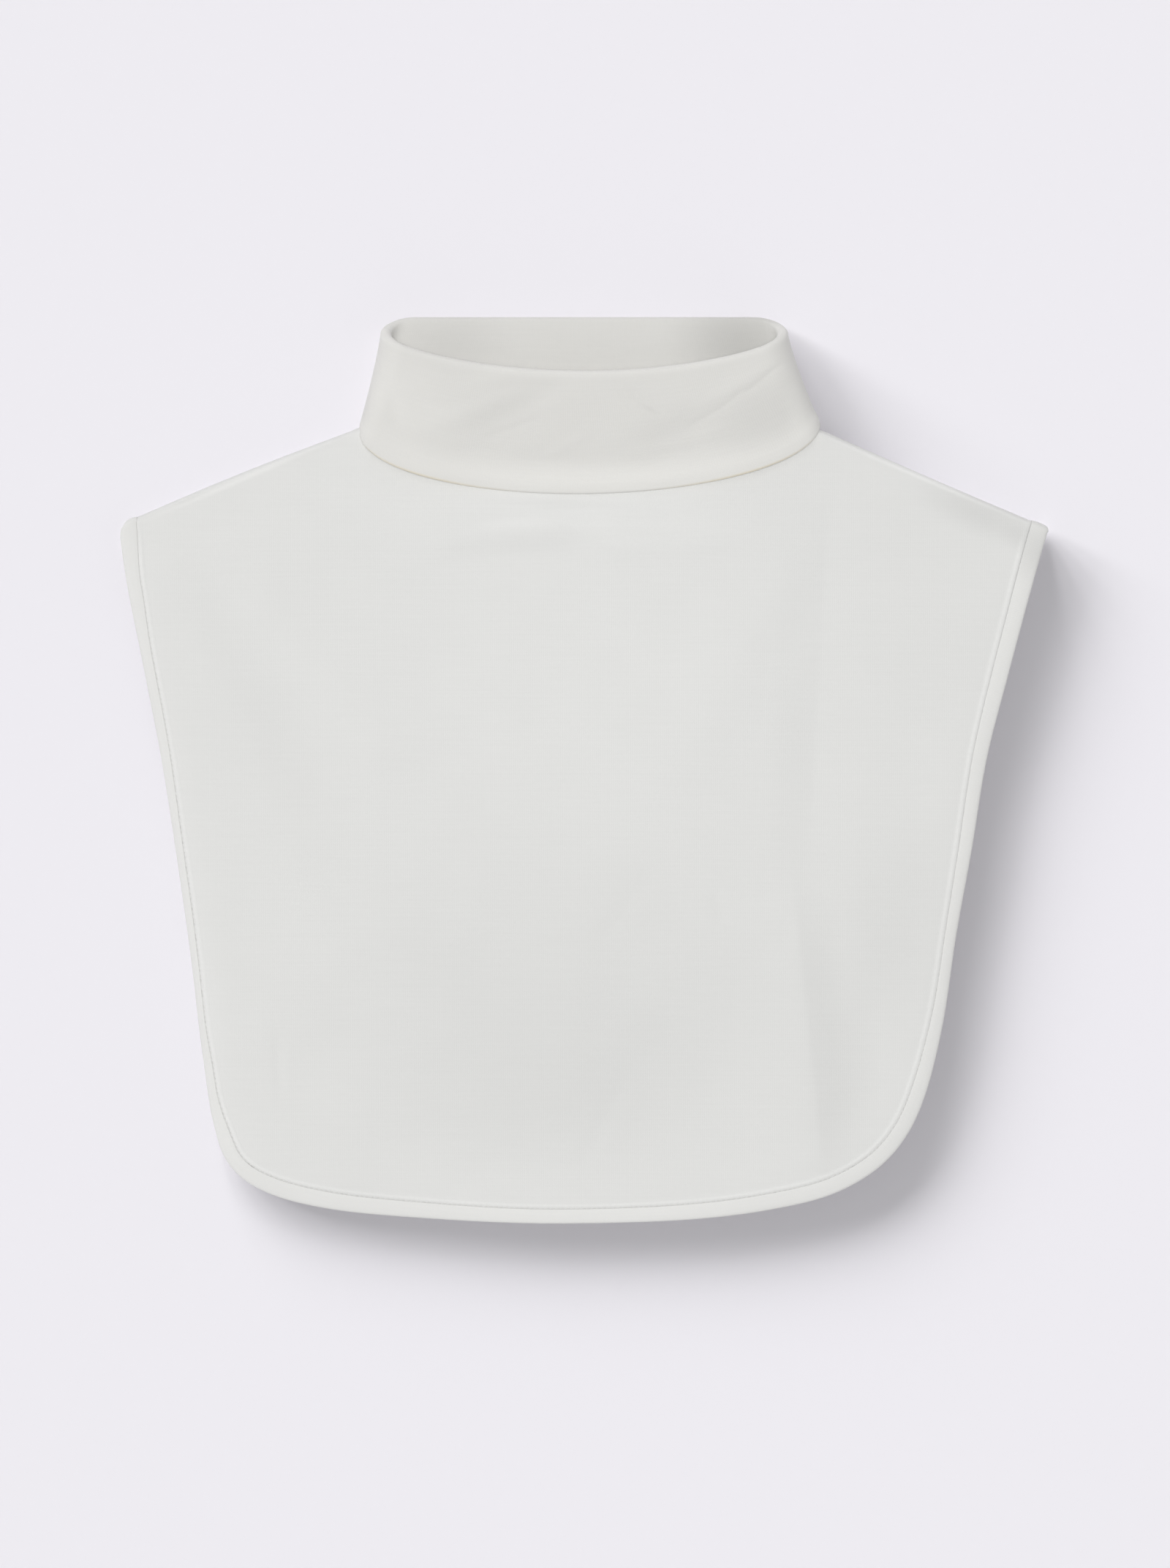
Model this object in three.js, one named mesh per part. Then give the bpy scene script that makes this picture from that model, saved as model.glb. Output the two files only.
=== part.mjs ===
// A turtleneck dickey of white cotton jersey, lying on its back with the collar turned down.
// Millimetres. X runs to the right, Y from the hem towards the collar, Z up from the surface that it lies on.
// The front and back panels meet in the shoulder seams, one bound edge runs round both of them,
// and the collar is a flattened tube of doubled cloth that stands on the neckline and turns over at its rim.
import * as THREE from 'three';

// Cloth walls, and the clearance left between pieces that are sewn together
const PANEL_WALL = 1.2;
const COLLAR_WALL = 2;
const BINDING_WALL = 1;
const BINDING_WIDTH = 8;
const CLEARANCE = 0.4;

// Plan of the panels. Lengths along Y are counted from the collar's lower corners.
const SHOULDER_WIDTH = 394.4;
const SHOULDER_DROP = 41.5;
const LEFT_SHOULDER_BOW = 2;
const RIGHT_SHOULDER_BOW = -1.2;
const FRONT_LENGTH = 335;
const BACK_LENGTH = 318;
const BACK_INSET = 10;
const BACK_INSET_RUN = 70;

// Plan of the collar. Widths are those of the flattened tube, outside.
const COLLAR_BASE_WIDTH = 198;
const COLLAR_RIM_WIDTH = 173;
const NECK_SEAM_WIDTH = 183;
const FRONT_NECK_DIP = 22.5;
const BACK_NECK_DIP = 3;
const NECK_CURVE = 2.5;
const RIM_BACK = 49.6;
const RIM_SIDE = 43.8;
const RIM_FRONT = 27;
const RIM_CORNER = 14;
const TURNDOWN_DIP = 27;
const TURNDOWN_BACK_DIP = 4.5;
const TURNDOWN_FLARE = 1.45;
const TURN_GAP = 0.8;
// Corner radii of the flattened tube's sections, as shares of half their thickness
const STAND_CORNER = 0.8;
const EDGE_CORNER = 0.55;

// Heights above the surface
const RIM_HOLLOW = 12.4;
const NECK_HOLLOW = 8;
const COLLAR_EDGE_REST = 0.7;
const COLLAR_EDGE_LIFT = 2;
const TIP_FOLD_RADIUS = 2.9;
const EDGE_LOFT = 8;
const CHEST_CROWN = 1.6;
const FOLD_DEPTH = 2.4;
// The back lies flat on the surface this far from its neckline, and this far from its bound edge
const BACK_SETTLE = 34;
const EDGE_SETTLE = 16;
// Shares of the chest, in from its sides and down from its top, over which the folds fade in
const FOLD_MARGIN = 0.1;
// Shares of a fold's length, before and after its ends, over which it fades
const FOLD_TAPER = 0.2;

// The front's outline from the left shoulder tip round the hem to the right one.
// x is a share of half the shoulder width, down a share of the length from tip to hem.
const FRONT_OUTLINE = [
  { x: -1.0, down: 0 },
  { x: -0.981, down: 0.08 },
  { x: -0.947, down: 0.205 },
  { x: -0.908, down: 0.332 },
  { x: -0.876, down: 0.467 },
  { x: -0.846, down: 0.617 },
  { x: -0.821, down: 0.746 },
  { x: -0.797, down: 0.856 },
  { x: -0.758, down: 0.919 },
  { x: -0.682, down: 0.954 },
  { x: -0.548, down: 0.977 },
  { x: -0.365, down: 0.992 },
  { x: -0.13, down: 1 },
  { x: 0.09, down: 1 },
  { x: 0.26, down: 0.993 },
  { x: 0.406, down: 0.98 },
  { x: 0.532, down: 0.959 },
  { x: 0.631, down: 0.922 },
  { x: 0.694, down: 0.872 },
  { x: 0.733, down: 0.806 },
  { x: 0.768, down: 0.709 },
  { x: 0.797, down: 0.586 },
  { x: 0.831, down: 0.46 },
  { x: 0.866, down: 0.331 },
  { x: 0.914, down: 0.205 },
  { x: 0.96, down: 0.08 },
  { x: 1.0, down: 0 },
];

// Heights of the front's bound edge along that outline, as shares of EDGE_LOFT:
// rim is the outer edge, seam the line where the binding ends.
const FRONT_EDGE = [
  { along: 0, rim: 0.96, seam: 0.98 },
  { along: 0.06, rim: 0.86, seam: 1.0 },
  { along: 0.14, rim: 0.5, seam: 1.0 },
  { along: 0.28, rim: 0.36, seam: 1.02 },
  { along: 0.36, rim: 0.52, seam: 0.9 },
  { along: 0.5, rim: 0.64, seam: 0.76 },
  { along: 0.62, rim: 0.66, seam: 0.82 },
  { along: 0.74, rim: 0.72, seam: 0.94 },
  { along: 0.9, rim: 0.88, seam: 1.0 },
  { along: 1, rim: 0.96, seam: 0.98 },
];

// Lift of the collar's turned-down edge, as a share of COLLAR_EDGE_LIFT across the base's half width.
const EDGE_LIFTS = [
  { across: -1, lift: 0.9 },
  { across: -0.78, lift: 1 },
  { across: -0.4, lift: 0.1 },
  { across: 0.3, lift: 0.05 },
  { across: 0.78, lift: 1 },
  { across: 1, lift: 0.9 },
];

// Soft folds of the front. Ends and width are shares: x and width of half the shoulder width,
// down of the front's length. height is a share of FOLD_DEPTH, a valley where it is negative.
const FRONT_FOLDS = [
  { x0: 0.53, down0: 0.03, x1: 0.5, down1: 0.34, width: 0.07, height: -0.5 },
  { x0: 0.5, down0: 0.34, x1: 0.45, down1: 0.66, width: 0.08, height: -0.45 },
  { x0: 0.62, down0: 0.1, x1: 0.58, down1: 0.7, width: 0.1, height: 0.55 },
  { x0: 0.45, down0: 0.1, x1: 0.2, down1: 0.36, width: 0.08, height: 0.35 },
  { x0: -0.82, down0: 0.2, x1: -0.46, down1: 0.5, width: 0.09, height: -0.5 },
  { x0: -0.74, down0: 0.16, x1: -0.36, down1: 0.42, width: 0.08, height: 0.4 },
  { x0: -0.2, down0: 0.13, x1: 0.22, down1: 0.14, width: 0.08, height: -0.35 },
  { x0: -0.55, down0: 0.6, x1: 0.4, down1: 0.57, width: 0.16, height: 0.6 },
  { x0: -0.4, down0: 0.84, x1: 0.3, down1: 0.82, width: 0.17, height: -0.4 },
  { x0: 0.46, down0: 0.66, x1: 0.56, down1: 0.9, width: 0.06, height: 0.45 },
];

// How finely each form is divided
const CURL_ROWS = 3;
const FRONT_ROWS = 17;
const BACK_ROWS = 9;
const SHOULDER_COLUMNS = 6;
const FRONT_NECK_COLUMNS = 16;
const BACK_NECK_COLUMNS = 12;
const CORNER_STEPS = 3;
const TURNDOWN_STEPS = 5;
const ROLL_STEPS = 6;
const STAND_STEPS = 3;
const OUTLINE_SAMPLES = 400;
// Where the sides end and the hem begins, as shares of the outline
const LEFT_HEM_CORNER = 0.335;
const RIGHT_HEM_CORNER = 0.66;

const lerp = THREE.MathUtils.lerp;

// Collar levels worked out from the walls and hollows
const TURN_PITCH = COLLAR_WALL + TURN_GAP;
const TURN_BACK_Z = COLLAR_WALL / 2;
const STAND_BACK_Z = TURN_BACK_Z + TURN_PITCH;
const STAND_RIM_Z = STAND_BACK_Z + COLLAR_WALL + RIM_HOLLOW;
const STAND_NECK_Z = STAND_BACK_Z + COLLAR_WALL + NECK_HOLLOW;
const TURN_RIM_Z = STAND_RIM_Z + TURN_PITCH;
const TURN_EDGE_Z = STAND_NECK_Z + (PANEL_WALL + COLLAR_WALL) / 2 + COLLAR_EDGE_REST;
const NECK_MID_Z = (STAND_BACK_Z + STAND_NECK_Z) / 2;
const BINDING_HALF = PANEL_WALL / 2 + CLEARANCE + BINDING_WALL;
const TIP_MID_Z = BINDING_HALF + TIP_FOLD_RADIUS;
// A shoulder edge is cut square to its first curl row, so half the wall's slant there adds to the clearance.
const SEAM_HALF = CLEARANCE / 2 + (PANEL_WALL / 2) * Math.sin(Math.PI / (4 * CURL_ROWS));

// The shoulder line runs from the neck seam's side to the tip, and passes the collar's lower corner at y = 0.
const TIP_X = SHOULDER_WIDTH / 2;
const TIP_Y = -SHOULDER_DROP;
const NECK_X = NECK_SEAM_WIDTH / 2;
const SHOULDER_SLOPE = SHOULDER_DROP / (TIP_X - COLLAR_BASE_WIDTH / 2);
const NECK_Y = (COLLAR_BASE_WIDTH / 2 - NECK_X) * SHOULDER_SLOPE;
// The shoulder's place along Y at a share of the way from the neck seam to the tip
const shoulderY = (sign, share) => {
  const bow = sign < 0 ? LEFT_SHOULDER_BOW : RIGHT_SHOULDER_BOW;
  return lerp(NECK_Y, TIP_Y, share) + bow * Math.sin(Math.PI * share);
};
// The collar's turned-down edge clears the shoulder seams that it crosses at its lower corners.
const CORNER_SHARE = (COLLAR_BASE_WIDTH / 2 - NECK_X) / (TIP_X - NECK_X);
const SEAM_AT_CORNER = Math.max(shoulderY(-1, CORNER_SHARE), shoulderY(1, CORNER_SHARE));
const TURN_SIDE_Y = SEAM_AT_CORNER + (PANEL_WALL + COLLAR_WALL) / 2 + 2 * CLEARANCE;

const smooth = (value, low, high) => THREE.MathUtils.smoothstep(value, low, high);
const arch = (share) => Math.sqrt(Math.max(0, 1 - share * share));
const bow = (share) => 1 - Math.abs(share) ** NECK_CURVE;

// Reads a column of a table at a place between its rows, easing from row to row.
function tableAt(rows, key, column, at) {
  let i = 0;
  while (i < rows.length - 2 && at > rows[i + 1][key]) i += 1;
  const share = smooth(at, rows[i][key], rows[i + 1][key]);
  return lerp(rows[i][column], rows[i + 1][column], share);
}

// Joins triangles into a geometry with shared vertices.
function geometryOf(points, triangles) {
  const geometry = new THREE.BufferGeometry();
  geometry.setAttribute('position', new THREE.Float32BufferAttribute(points.flatMap((p) => p.toArray()), 3));
  geometry.setIndex(triangles.flat());
  geometry.computeVertexNormals();
  return geometry;
}

// Splits a quad along its shorter diagonal.
function splitQuad(points, [a, b, c, d]) {
  const acrossAC = points[a].distanceTo(points[c]) <= points[b].distanceTo(points[d]);
  return acrossAC ? [[a, b, c], [a, c, d]] : [[b, c, d], [b, d, a]];
}

// A cloth wall: the sheet of quads, thickened evenly to both sides and closed round its border.
function clothWall(sheet, quads, wall) {
  const normals = sheet.map(() => new THREE.Vector3());
  for (const [a, b, c, d] of quads) {
    const across = new THREE.Vector3().subVectors(sheet[c], sheet[a]);
    const other = new THREE.Vector3().subVectors(sheet[d], sheet[b]);
    const normal = across.cross(other);
    for (const corner of [a, b, c, d]) normals[corner].add(normal);
  }
  normals.forEach((normal) => normal.normalize());
  const upper = sheet.map((p, i) => p.clone().addScaledVector(normals[i], wall / 2));
  const lower = sheet.map((p, i) => p.clone().addScaledVector(normals[i], -wall / 2));
  const under = sheet.length;
  const triangles = [];
  const borders = new Map();
  for (const quad of quads) {
    for (const [a, b, c] of splitQuad(sheet, quad)) {
      triangles.push([a, b, c], [a + under, c + under, b + under]);
    }
    quad.forEach((a, i) => {
      const b = quad[(i + 1) % quad.length];
      if (!borders.delete(`${b},${a}`)) borders.set(`${a},${b}`, [a, b]);
    });
  }
  for (const [a, b] of borders.values()) {
    triangles.push([b, a, a + under], [b, a + under, b + under]);
  }
  return geometryOf([...upper, ...lower], triangles);
}

// A closed ring of equal sections, each a closed loop of points.
function ringOfSections(sections) {
  const perSection = sections[0].length;
  const points = sections.flat();
  const triangles = [];
  sections.forEach((section, i) => {
    const here = i * perSection;
    const next = ((i + 1) % sections.length) * perSection;
    section.forEach((point, s) => {
      const t = (s + 1) % perSection;
      triangles.push(...splitQuad(points, [here + s, next + s, next + t, here + t]));
    });
  });
  return geometryOf(points, triangles);
}

// Stations round the flattened tube: over the front from left to right, and back underneath.
// cx and cz say which corner centre a station belongs to, nx and nz are its outward direction.
function tubeStations() {
  const side = (sign) => ({ cx: sign, cz: 0.5, nx: sign, nz: 0 });
  const corner = (cx, cz, from) => Array.from({ length: CORNER_STEPS }, (_, i) => {
    const angle = THREE.MathUtils.degToRad(from - (90 * i) / CORNER_STEPS);
    return { cx, cz, nx: Math.cos(angle), nz: Math.sin(angle) };
  });
  const line = (cz, nz, columns, from) => Array.from({ length: columns + 1 }, (_, i) => (
    { cx: from * Math.cos((Math.PI * i) / columns), cz, nx: 0, nz }));
  const turn = 90 / CORNER_STEPS;
  return {
    front: [
      side(-1),
      ...corner(-1, 1, 180),
      ...line(1, 1, FRONT_NECK_COLUMNS, -1),
      ...corner(1, 1, 90 - turn),
      side(1),
    ],
    back: [
      side(1),
      ...corner(1, 0, 0),
      ...line(0, -1, BACK_NECK_COLUMNS, 1),
      ...corner(-1, 0, -90 - turn),
      side(-1),
    ],
  };
}

// A point of the tube's round-cornered section. corner is the corner's radius as a share of half its thickness.
function onSection({ cx, cz, nx, nz }, halfWidth, backZ, frontZ, corner) {
  const radius = (corner * (frontZ - backZ)) / 2;
  const x = cx * (halfWidth - radius) + nx * radius;
  const z = lerp(backZ + radius, frontZ - radius, cz) + nz * radius;
  return new THREE.Vector3(x, 0, z);
}

const isFront = (station) => station.cz > 0.5;

// The middle of the collar's cloth at the neck seam
function neckPoint(station) {
  const p = onSection(station, NECK_X, STAND_BACK_Z, STAND_NECK_Z, STAND_CORNER);
  p.y = NECK_Y - (isFront(station) ? FRONT_NECK_DIP : BACK_NECK_DIP) * bow(p.x / NECK_X);
  return p;
}

// The rim's height along Y: a shallow bowl in front, nearly straight with rounded corners behind
function rimLevel(station, x, halfWidth) {
  if (isFront(station)) return RIM_SIDE - (RIM_SIDE - RIM_FRONT) * arch(x / halfWidth);
  const corner = Math.max(0, Math.abs(x) - (halfWidth - RIM_CORNER)) / RIM_CORNER;
  return RIM_SIDE + (RIM_BACK - RIM_SIDE) * arch(corner);
}

// The middle line of the collar's cloth at one station, from the turned-down edge over the rim to
// the neck seam, each point with the direction that its cloth faces outside.
function collarLine(station) {
  const outward = new THREE.Vector3(station.nx, 0, station.nz);
  const rimHalf = COLLAR_RIM_WIDTH / 2 - COLLAR_WALL / 2;
  const standRimHalf = rimHalf - TURN_PITCH;
  const rim = onSection(station, rimHalf, TURN_BACK_Z, TURN_RIM_Z, STAND_CORNER);
  const rollRadius = TURN_PITCH / 2;
  rim.y = rimLevel(station, rim.x, rimHalf) - rollRadius - COLLAR_WALL / 2;

  const baseHalf = COLLAR_BASE_WIDTH / 2 - COLLAR_WALL / 2;
  const probe = onSection(station, baseHalf, TURN_BACK_Z, TURN_EDGE_Z, EDGE_CORNER);
  const edgeZ = TURN_EDGE_Z + COLLAR_EDGE_LIFT * tableAt(EDGE_LIFTS, 'across', 'lift', probe.x / baseHalf);
  const edge = onSection(station, baseHalf, TURN_BACK_Z, edgeZ, EDGE_CORNER);
  edge.y = TURN_SIDE_Y - (isFront(station) ? TURNDOWN_DIP : TURNDOWN_BACK_DIP) * arch(edge.x / baseHalf);

  const line = [];
  for (let i = 0; i <= TURNDOWN_STEPS; i += 1) {
    const up = i / TURNDOWN_STEPS;
    const flare = (1 - up) ** TURNDOWN_FLARE;
    const p = rim.clone().lerp(edge, flare);
    p.y = lerp(edge.y, rim.y, up);
    line.push({ p, out: outward });
  }
  const centre = rim.clone().addScaledVector(outward, -rollRadius);
  const up = new THREE.Vector3(0, 1, 0);
  for (let i = 1; i < ROLL_STEPS; i += 1) {
    const angle = (Math.PI * i) / ROLL_STEPS;
    const out = outward.clone().multiplyScalar(Math.cos(angle)).addScaledVector(up, Math.sin(angle));
    line.push({ p: centre.clone().addScaledVector(out, rollRadius), out });
  }
  const standTop = centre.clone().addScaledVector(outward, -rollRadius);
  const seam = neckPoint(station);
  seam.y += CLEARANCE + (PANEL_WALL / 2 + CLEARANCE / 2) * Math.abs(station.nx);
  const inward = outward.clone().negate();
  for (let i = 0; i <= STAND_STEPS; i += 1) {
    line.push({ p: standTop.clone().lerp(seam, i / STAND_STEPS), out: inward });
  }
  return line;
}

// The collar's section at one station: the outer face up, over and down, then back along the inner face.
function collarSection(station) {
  const line = collarLine(station);
  const face = (sign) => line.map(({ p, out }) => p.clone().addScaledVector(out, (sign * COLLAR_WALL) / 2));
  const edgeRound = line[0].p.clone();
  edgeRound.y -= COLLAR_WALL / 2;
  return [edgeRound, ...face(1), ...face(-1).reverse()];
}

const stations = tubeStations();
const tubeLoop = [...stations.front, ...stations.back.slice(1, -1)];
const collarGeometry = ringOfSections(tubeLoop.map(collarSection));

// A panel's outline in plan. The back's is the front's, drawn in towards the middle below the shoulders.
function outlineCurve(front) {
  const drop = FRONT_LENGTH - SHOULDER_DROP;
  const shorter = front ? 1 : (BACK_LENGTH - SHOULDER_DROP) / drop;
  return new THREE.SplineCurve(FRONT_OUTLINE.map(({ x, down }) => {
    const inset = front ? 0 : BACK_INSET * smooth(down * drop, 0, BACK_INSET_RUN);
    return new THREE.Vector2(x * TIP_X - Math.sign(x) * inset, TIP_Y - down * drop * shorter);
  }));
}

// Evenly usable access to a curve by arc length
function measured(curve) {
  curve.arcLengthDivisions = OUTLINE_SAMPLES;
  const length = curve.getLength();
  return {
    length,
    at: (distance) => curve.getPointAt(THREE.MathUtils.clamp(distance / length, 0, 1)),
    along: (distance) => curve.getTangentAt(THREE.MathUtils.clamp(distance / length, 0, 1)),
  };
}

// How far a column's curl runs down from its seam before the panel lies open
const NECK_CURL = (NECK_HOLLOW + COLLAR_WALL) / 2;
const TIP_CURL = TIP_FOLD_RADIUS;

// The shoulder: its line in plan, the middle level of its fold and the level of its upper or lower face
const tipFold = { mid: TIP_MID_Z, front: TIP_MID_Z + TIP_FOLD_RADIUS, back: TIP_MID_Z - TIP_FOLD_RADIUS };
const neckFold = { mid: NECK_MID_Z, front: STAND_NECK_Z, back: STAND_BACK_Z };
function shoulderColumn(sign, share, face) {
  const x = sign * lerp(NECK_X, TIP_X, share);
  return {
    seam: new THREE.Vector3(x, shoulderY(sign, share), lerp(neckFold.mid, tipFold.mid, share)),
    face: lerp(neckFold[face], tipFold[face], share),
    reach: lerp(NECK_CURL, TIP_CURL, share),
  };
}

// One of the curl's points: from the seam, the cloth turns over a quarter round onto the panel's face.
function curlPoint({ seam, face, reach }, step) {
  const angle = (Math.PI / 2) * (step / CURL_ROWS);
  const p = seam.clone();
  p.y -= reach * (1 - Math.cos(angle));
  p.z = lerp(seam.z, face, Math.sin(angle));
  return p;
}

// The drop of a soft fold's height with distance from its line, fading towards its ends
function foldHeight(fold, x, y) {
  const start = new THREE.Vector2(fold.x0 * TIP_X, -fold.down0 * FRONT_LENGTH + NECK_Y - FRONT_NECK_DIP);
  const end = new THREE.Vector2(fold.x1 * TIP_X, -fold.down1 * FRONT_LENGTH + NECK_Y - FRONT_NECK_DIP);
  const run = new THREE.Vector2().subVectors(end, start);
  const from = new THREE.Vector2(x, y).sub(start);
  const along = from.dot(run) / run.lengthSq();
  const offset = Math.abs(from.cross(run)) / run.length() / (fold.width * TIP_X);
  const ends = smooth(along, -FOLD_TAPER, FOLD_TAPER) * smooth(1 - along, -FOLD_TAPER, FOLD_TAPER);
  return FOLD_DEPTH * fold.height * Math.exp(-offset * offset) * ends;
}

// One panel's bound edge, station by station: the binding's outer rim and the seam line that it ends on.
function boundEdge(front, rows) {
  const outline = measured(outlineCurve(front));
  const face = front ? 'front' : 'back';
  const leftCorner = outline.length * LEFT_HEM_CORNER;
  const rightCorner = outline.length * RIGHT_HEM_CORNER;
  const neckColumns = front ? FRONT_NECK_COLUMNS : BACK_NECK_COLUMNS;
  const hemColumns = 2 * (SHOULDER_COLUMNS + CORNER_STEPS + 1) + neckColumns;

  const distances = [];
  const cornerward = (share) => (share + Math.sin((Math.PI / 2) * share)) / 2;
  for (let j = 1; j <= rows; j += 1) distances.push(lerp(TIP_CURL, leftCorner, cornerward(j / rows)));
  for (let i = 1; i <= hemColumns; i += 1) distances.push(lerp(leftCorner, rightCorner, i / hemColumns));
  for (let j = rows - 1; j >= 0; j -= 1) {
    distances.push(lerp(outline.length - TIP_CURL, rightCorner, cornerward(j / rows)));
  }

  const shoulderRun = (sign) => new THREE.Vector2(-sign, SHOULDER_SLOPE).normalize();
  const station = (distance, sign) => {
    const rimXY = outline.at(distance);
    const tangent = outline.along(distance);
    const fromTip = Math.min(distance, outline.length - distance);
    const blend = smooth(fromTip, 0, 3 * BINDING_WIDTH);
    const inward = shoulderRun(sign).lerp(new THREE.Vector2(-tangent.y, tangent.x), blend).normalize();
    const at = distance / outline.length;
    const backZ = lerp(tipFold.back, BINDING_HALF, blend);
    const rimZ = front ? EDGE_LOFT * tableAt(FRONT_EDGE, 'along', 'rim', at) : backZ;
    const seamZ = front ? EDGE_LOFT * tableAt(FRONT_EDGE, 'along', 'seam', at) : rimZ;
    const width = Math.sqrt(BINDING_WIDTH ** 2 - (seamZ - rimZ) ** 2);
    return {
      rim: new THREE.Vector3(rimXY.x, rimXY.y, rimZ),
      seam: new THREE.Vector3(rimXY.x + inward.x * width, rimXY.y + inward.y * width, seamZ),
    };
  };
  const curl = (sign) => Array.from({ length: CURL_ROWS + 1 }, (_, step) => {
    const tip = shoulderColumn(sign, 1, face);
    const run = shoulderRun(sign).multiplyScalar(BINDING_WIDTH);
    const start = { ...tip, seam: tip.seam.clone().add(new THREE.Vector3(run.x, run.y, 0)) };
    const half = front ? SEAM_HALF : -SEAM_HALF;
    const pair = { rim: curlPoint(tip, step), seam: curlPoint(start, step) };
    if (step === 0) Object.values(pair).forEach((p) => { p.z += half; });
    return pair;
  });
  const sides = distances.map((distance) => station(distance, distance < outline.length / 2 ? -1 : 1));
  return [...curl(-1), ...sides.slice(0, -1), ...curl(1).reverse()];
}

// A panel: a patch between the shoulders, the neckline and the binding's seam line, and a strip that
// runs on into the binding.
function panel(front) {
  const rows = front ? FRONT_ROWS : BACK_ROWS;
  const face = front ? 'front' : 'back';
  const edge = boundEdge(front, rows);
  const neckline = (front ? stations.front : [...stations.back].reverse()).map((station) => ({
    seam: neckPoint(station),
    face: neckFold[face],
    reach: NECK_CURL,
  }));
  const half = front ? SEAM_HALF : -SEAM_HALF;
  const shoulder = (sign) => Array.from({ length: SHOULDER_COLUMNS - 1 }, (_, i) => {
    const start = edge[0].seam;
    const share = 1 - ((i + 1) / SHOULDER_COLUMNS);
    const tipShare = (Math.abs(start.x) - NECK_X) / (TIP_X - NECK_X);
    return shoulderColumn(sign, share * tipShare, face);
  });
  const inner = [...shoulder(-1), ...neckline, ...shoulder(1).reverse()];
  const columns = inner.length + 1;
  const allRows = CURL_ROWS + rows;

  // The four sides of the patch below the curl: top and hem by column, left and right by row
  const sideRow = (j) => edge[CURL_ROWS + j].seam;
  const hemColumn = (i) => edge[allRows + i].seam;
  const rightRow = (j) => edge[edge.length - 1 - CURL_ROWS - j].seam;
  const top = [sideRow(0), ...inner.map((column) => curlPoint(column, CURL_ROWS)), rightRow(0)];
  const width = top[columns].x - top[0].x;

  const sheet = [];
  const index = (i, j) => i * (allRows + 1) + j;
  for (let i = 0; i <= columns; i += 1) {
    const u = (top[i].x - top[0].x) / width;
    for (let j = 0; j <= allRows; j += 1) {
      const v = (j - CURL_ROWS) / rows;
      if (i === 0) sheet.push(edge[j].seam.clone());
      else if (i === columns) sheet.push(edge[edge.length - 1 - j].seam.clone());
      else if (j < CURL_ROWS) {
        const p = curlPoint(inner[i - 1], j);
        if (j === 0 && Math.abs(p.x) >= NECK_X) p.z += half;
        sheet.push(p);
      } else {
        const ruled = top[i].clone().lerp(hemColumn(i), v);
        const across = sideRow(j - CURL_ROWS).clone().lerp(rightRow(j - CURL_ROWS), u);
        const corners = top[0].clone().lerp(top[columns], u);
        corners.lerp(hemColumn(0).clone().lerp(hemColumn(columns), u), v);
        const p = ruled.add(across).sub(corners);
        if (front) {
          const inside = [u, 1 - u, v, 1 - v].reduce((share, at) => share * smooth(at, 0, FOLD_MARGIN), 1);
          p.z += inside * FRONT_FOLDS.reduce((sum, fold) => sum + foldHeight(fold, p.x, p.y), 0);
          p.z += CHEST_CROWN * Math.sin(Math.PI * u) * Math.sin(Math.PI * Math.sqrt(v));
        }
        sheet.push(p);
      }
    }
  }
  if (!front) settleOnSurface(sheet, top, edge);

  const quads = [];
  for (let i = 0; i < columns; i += 1) {
    for (let j = 0; j < allRows; j += 1) {
      quads.push([index(i, j), index(i, j + 1), index(i + 1, j + 1), index(i + 1, j)]);
    }
  }

  // The strip from the seam line out into the binding
  const onSeam = (k) => {
    if (k <= allRows) return index(0, k);
    if (k <= allRows + columns) return index(k - allRows, allRows);
    return index(columns, edge.length - 1 - k);
  };
  const firstOuter = sheet.length;
  for (const { rim, seam } of edge) {
    sheet.push(rim.clone().lerp(seam, (BINDING_WALL + CLEARANCE) / BINDING_WIDTH));
  }
  for (let k = 0; k + 1 < edge.length; k += 1) {
    quads.push([firstOuter + k, firstOuter + k + 1, onSeam(k + 1), onSeam(k)]);
  }
  const facing = front ? quads : quads.map((quad) => [...quad].reverse());
  return { edge, geometry: clothWall(sheet, facing, PANEL_WALL) };
}

// The back's cloth lies flat on the surface wherever it is far enough from its seams.
function settleOnSurface(sheet, top, edge) {
  const borders = [...top, ...edge.map(({ seam }) => seam)];
  const neckEnd = top.length;
  for (const p of sheet) {
    const distance = (q) => Math.hypot(p.x - q.x, p.y - q.y);
    const fromTop = Math.min(...borders.slice(0, neckEnd).map(distance));
    const fromEdge = Math.min(...borders.slice(neckEnd).map(distance));
    const above = p.y > NECK_Y - BACK_NECK_DIP - NECK_CURL;
    const keep = Math.max(1 - smooth(fromTop, 0, BACK_SETTLE), 1 - smooth(fromEdge, 0, EDGE_SETTLE));
    if (!above) p.z = lerp(PANEL_WALL / 2, p.z, keep);
  }
}

// The strip that binds the edges: a folded channel round both panels, over the shoulders.
function bindingGeometry(frontEdge, backEdge) {
  const loop = [...frontEdge, ...[...backEdge].reverse()];
  const inner = PANEL_WALL / 2 + CLEARANCE;
  const outer = BINDING_HALF;
  const lip = BINDING_WIDTH - CLEARANCE;
  const profile = [
    [lip, outer], [BINDING_WALL, outer], [0, inner], [0, -inner], [BINDING_WALL, -outer], [lip, -outer],
    [lip, -inner], [BINDING_WALL, -inner], [BINDING_WALL, inner], [lip, inner],
  ];
  return ringOfSections(loop.map(({ rim, seam }, i) => {
    const before = loop[(i + loop.length - 1) % loop.length].rim;
    const after = loop[(i + 1) % loop.length].rim;
    const across = new THREE.Vector3().subVectors(seam, rim).normalize();
    const normal = new THREE.Vector3().subVectors(after, before).cross(across).normalize();
    return profile.map(([inwards, up]) => (
      rim.clone().addScaledVector(across, inwards).addScaledVector(normal, up)));
  }).reverse());
}

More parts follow.
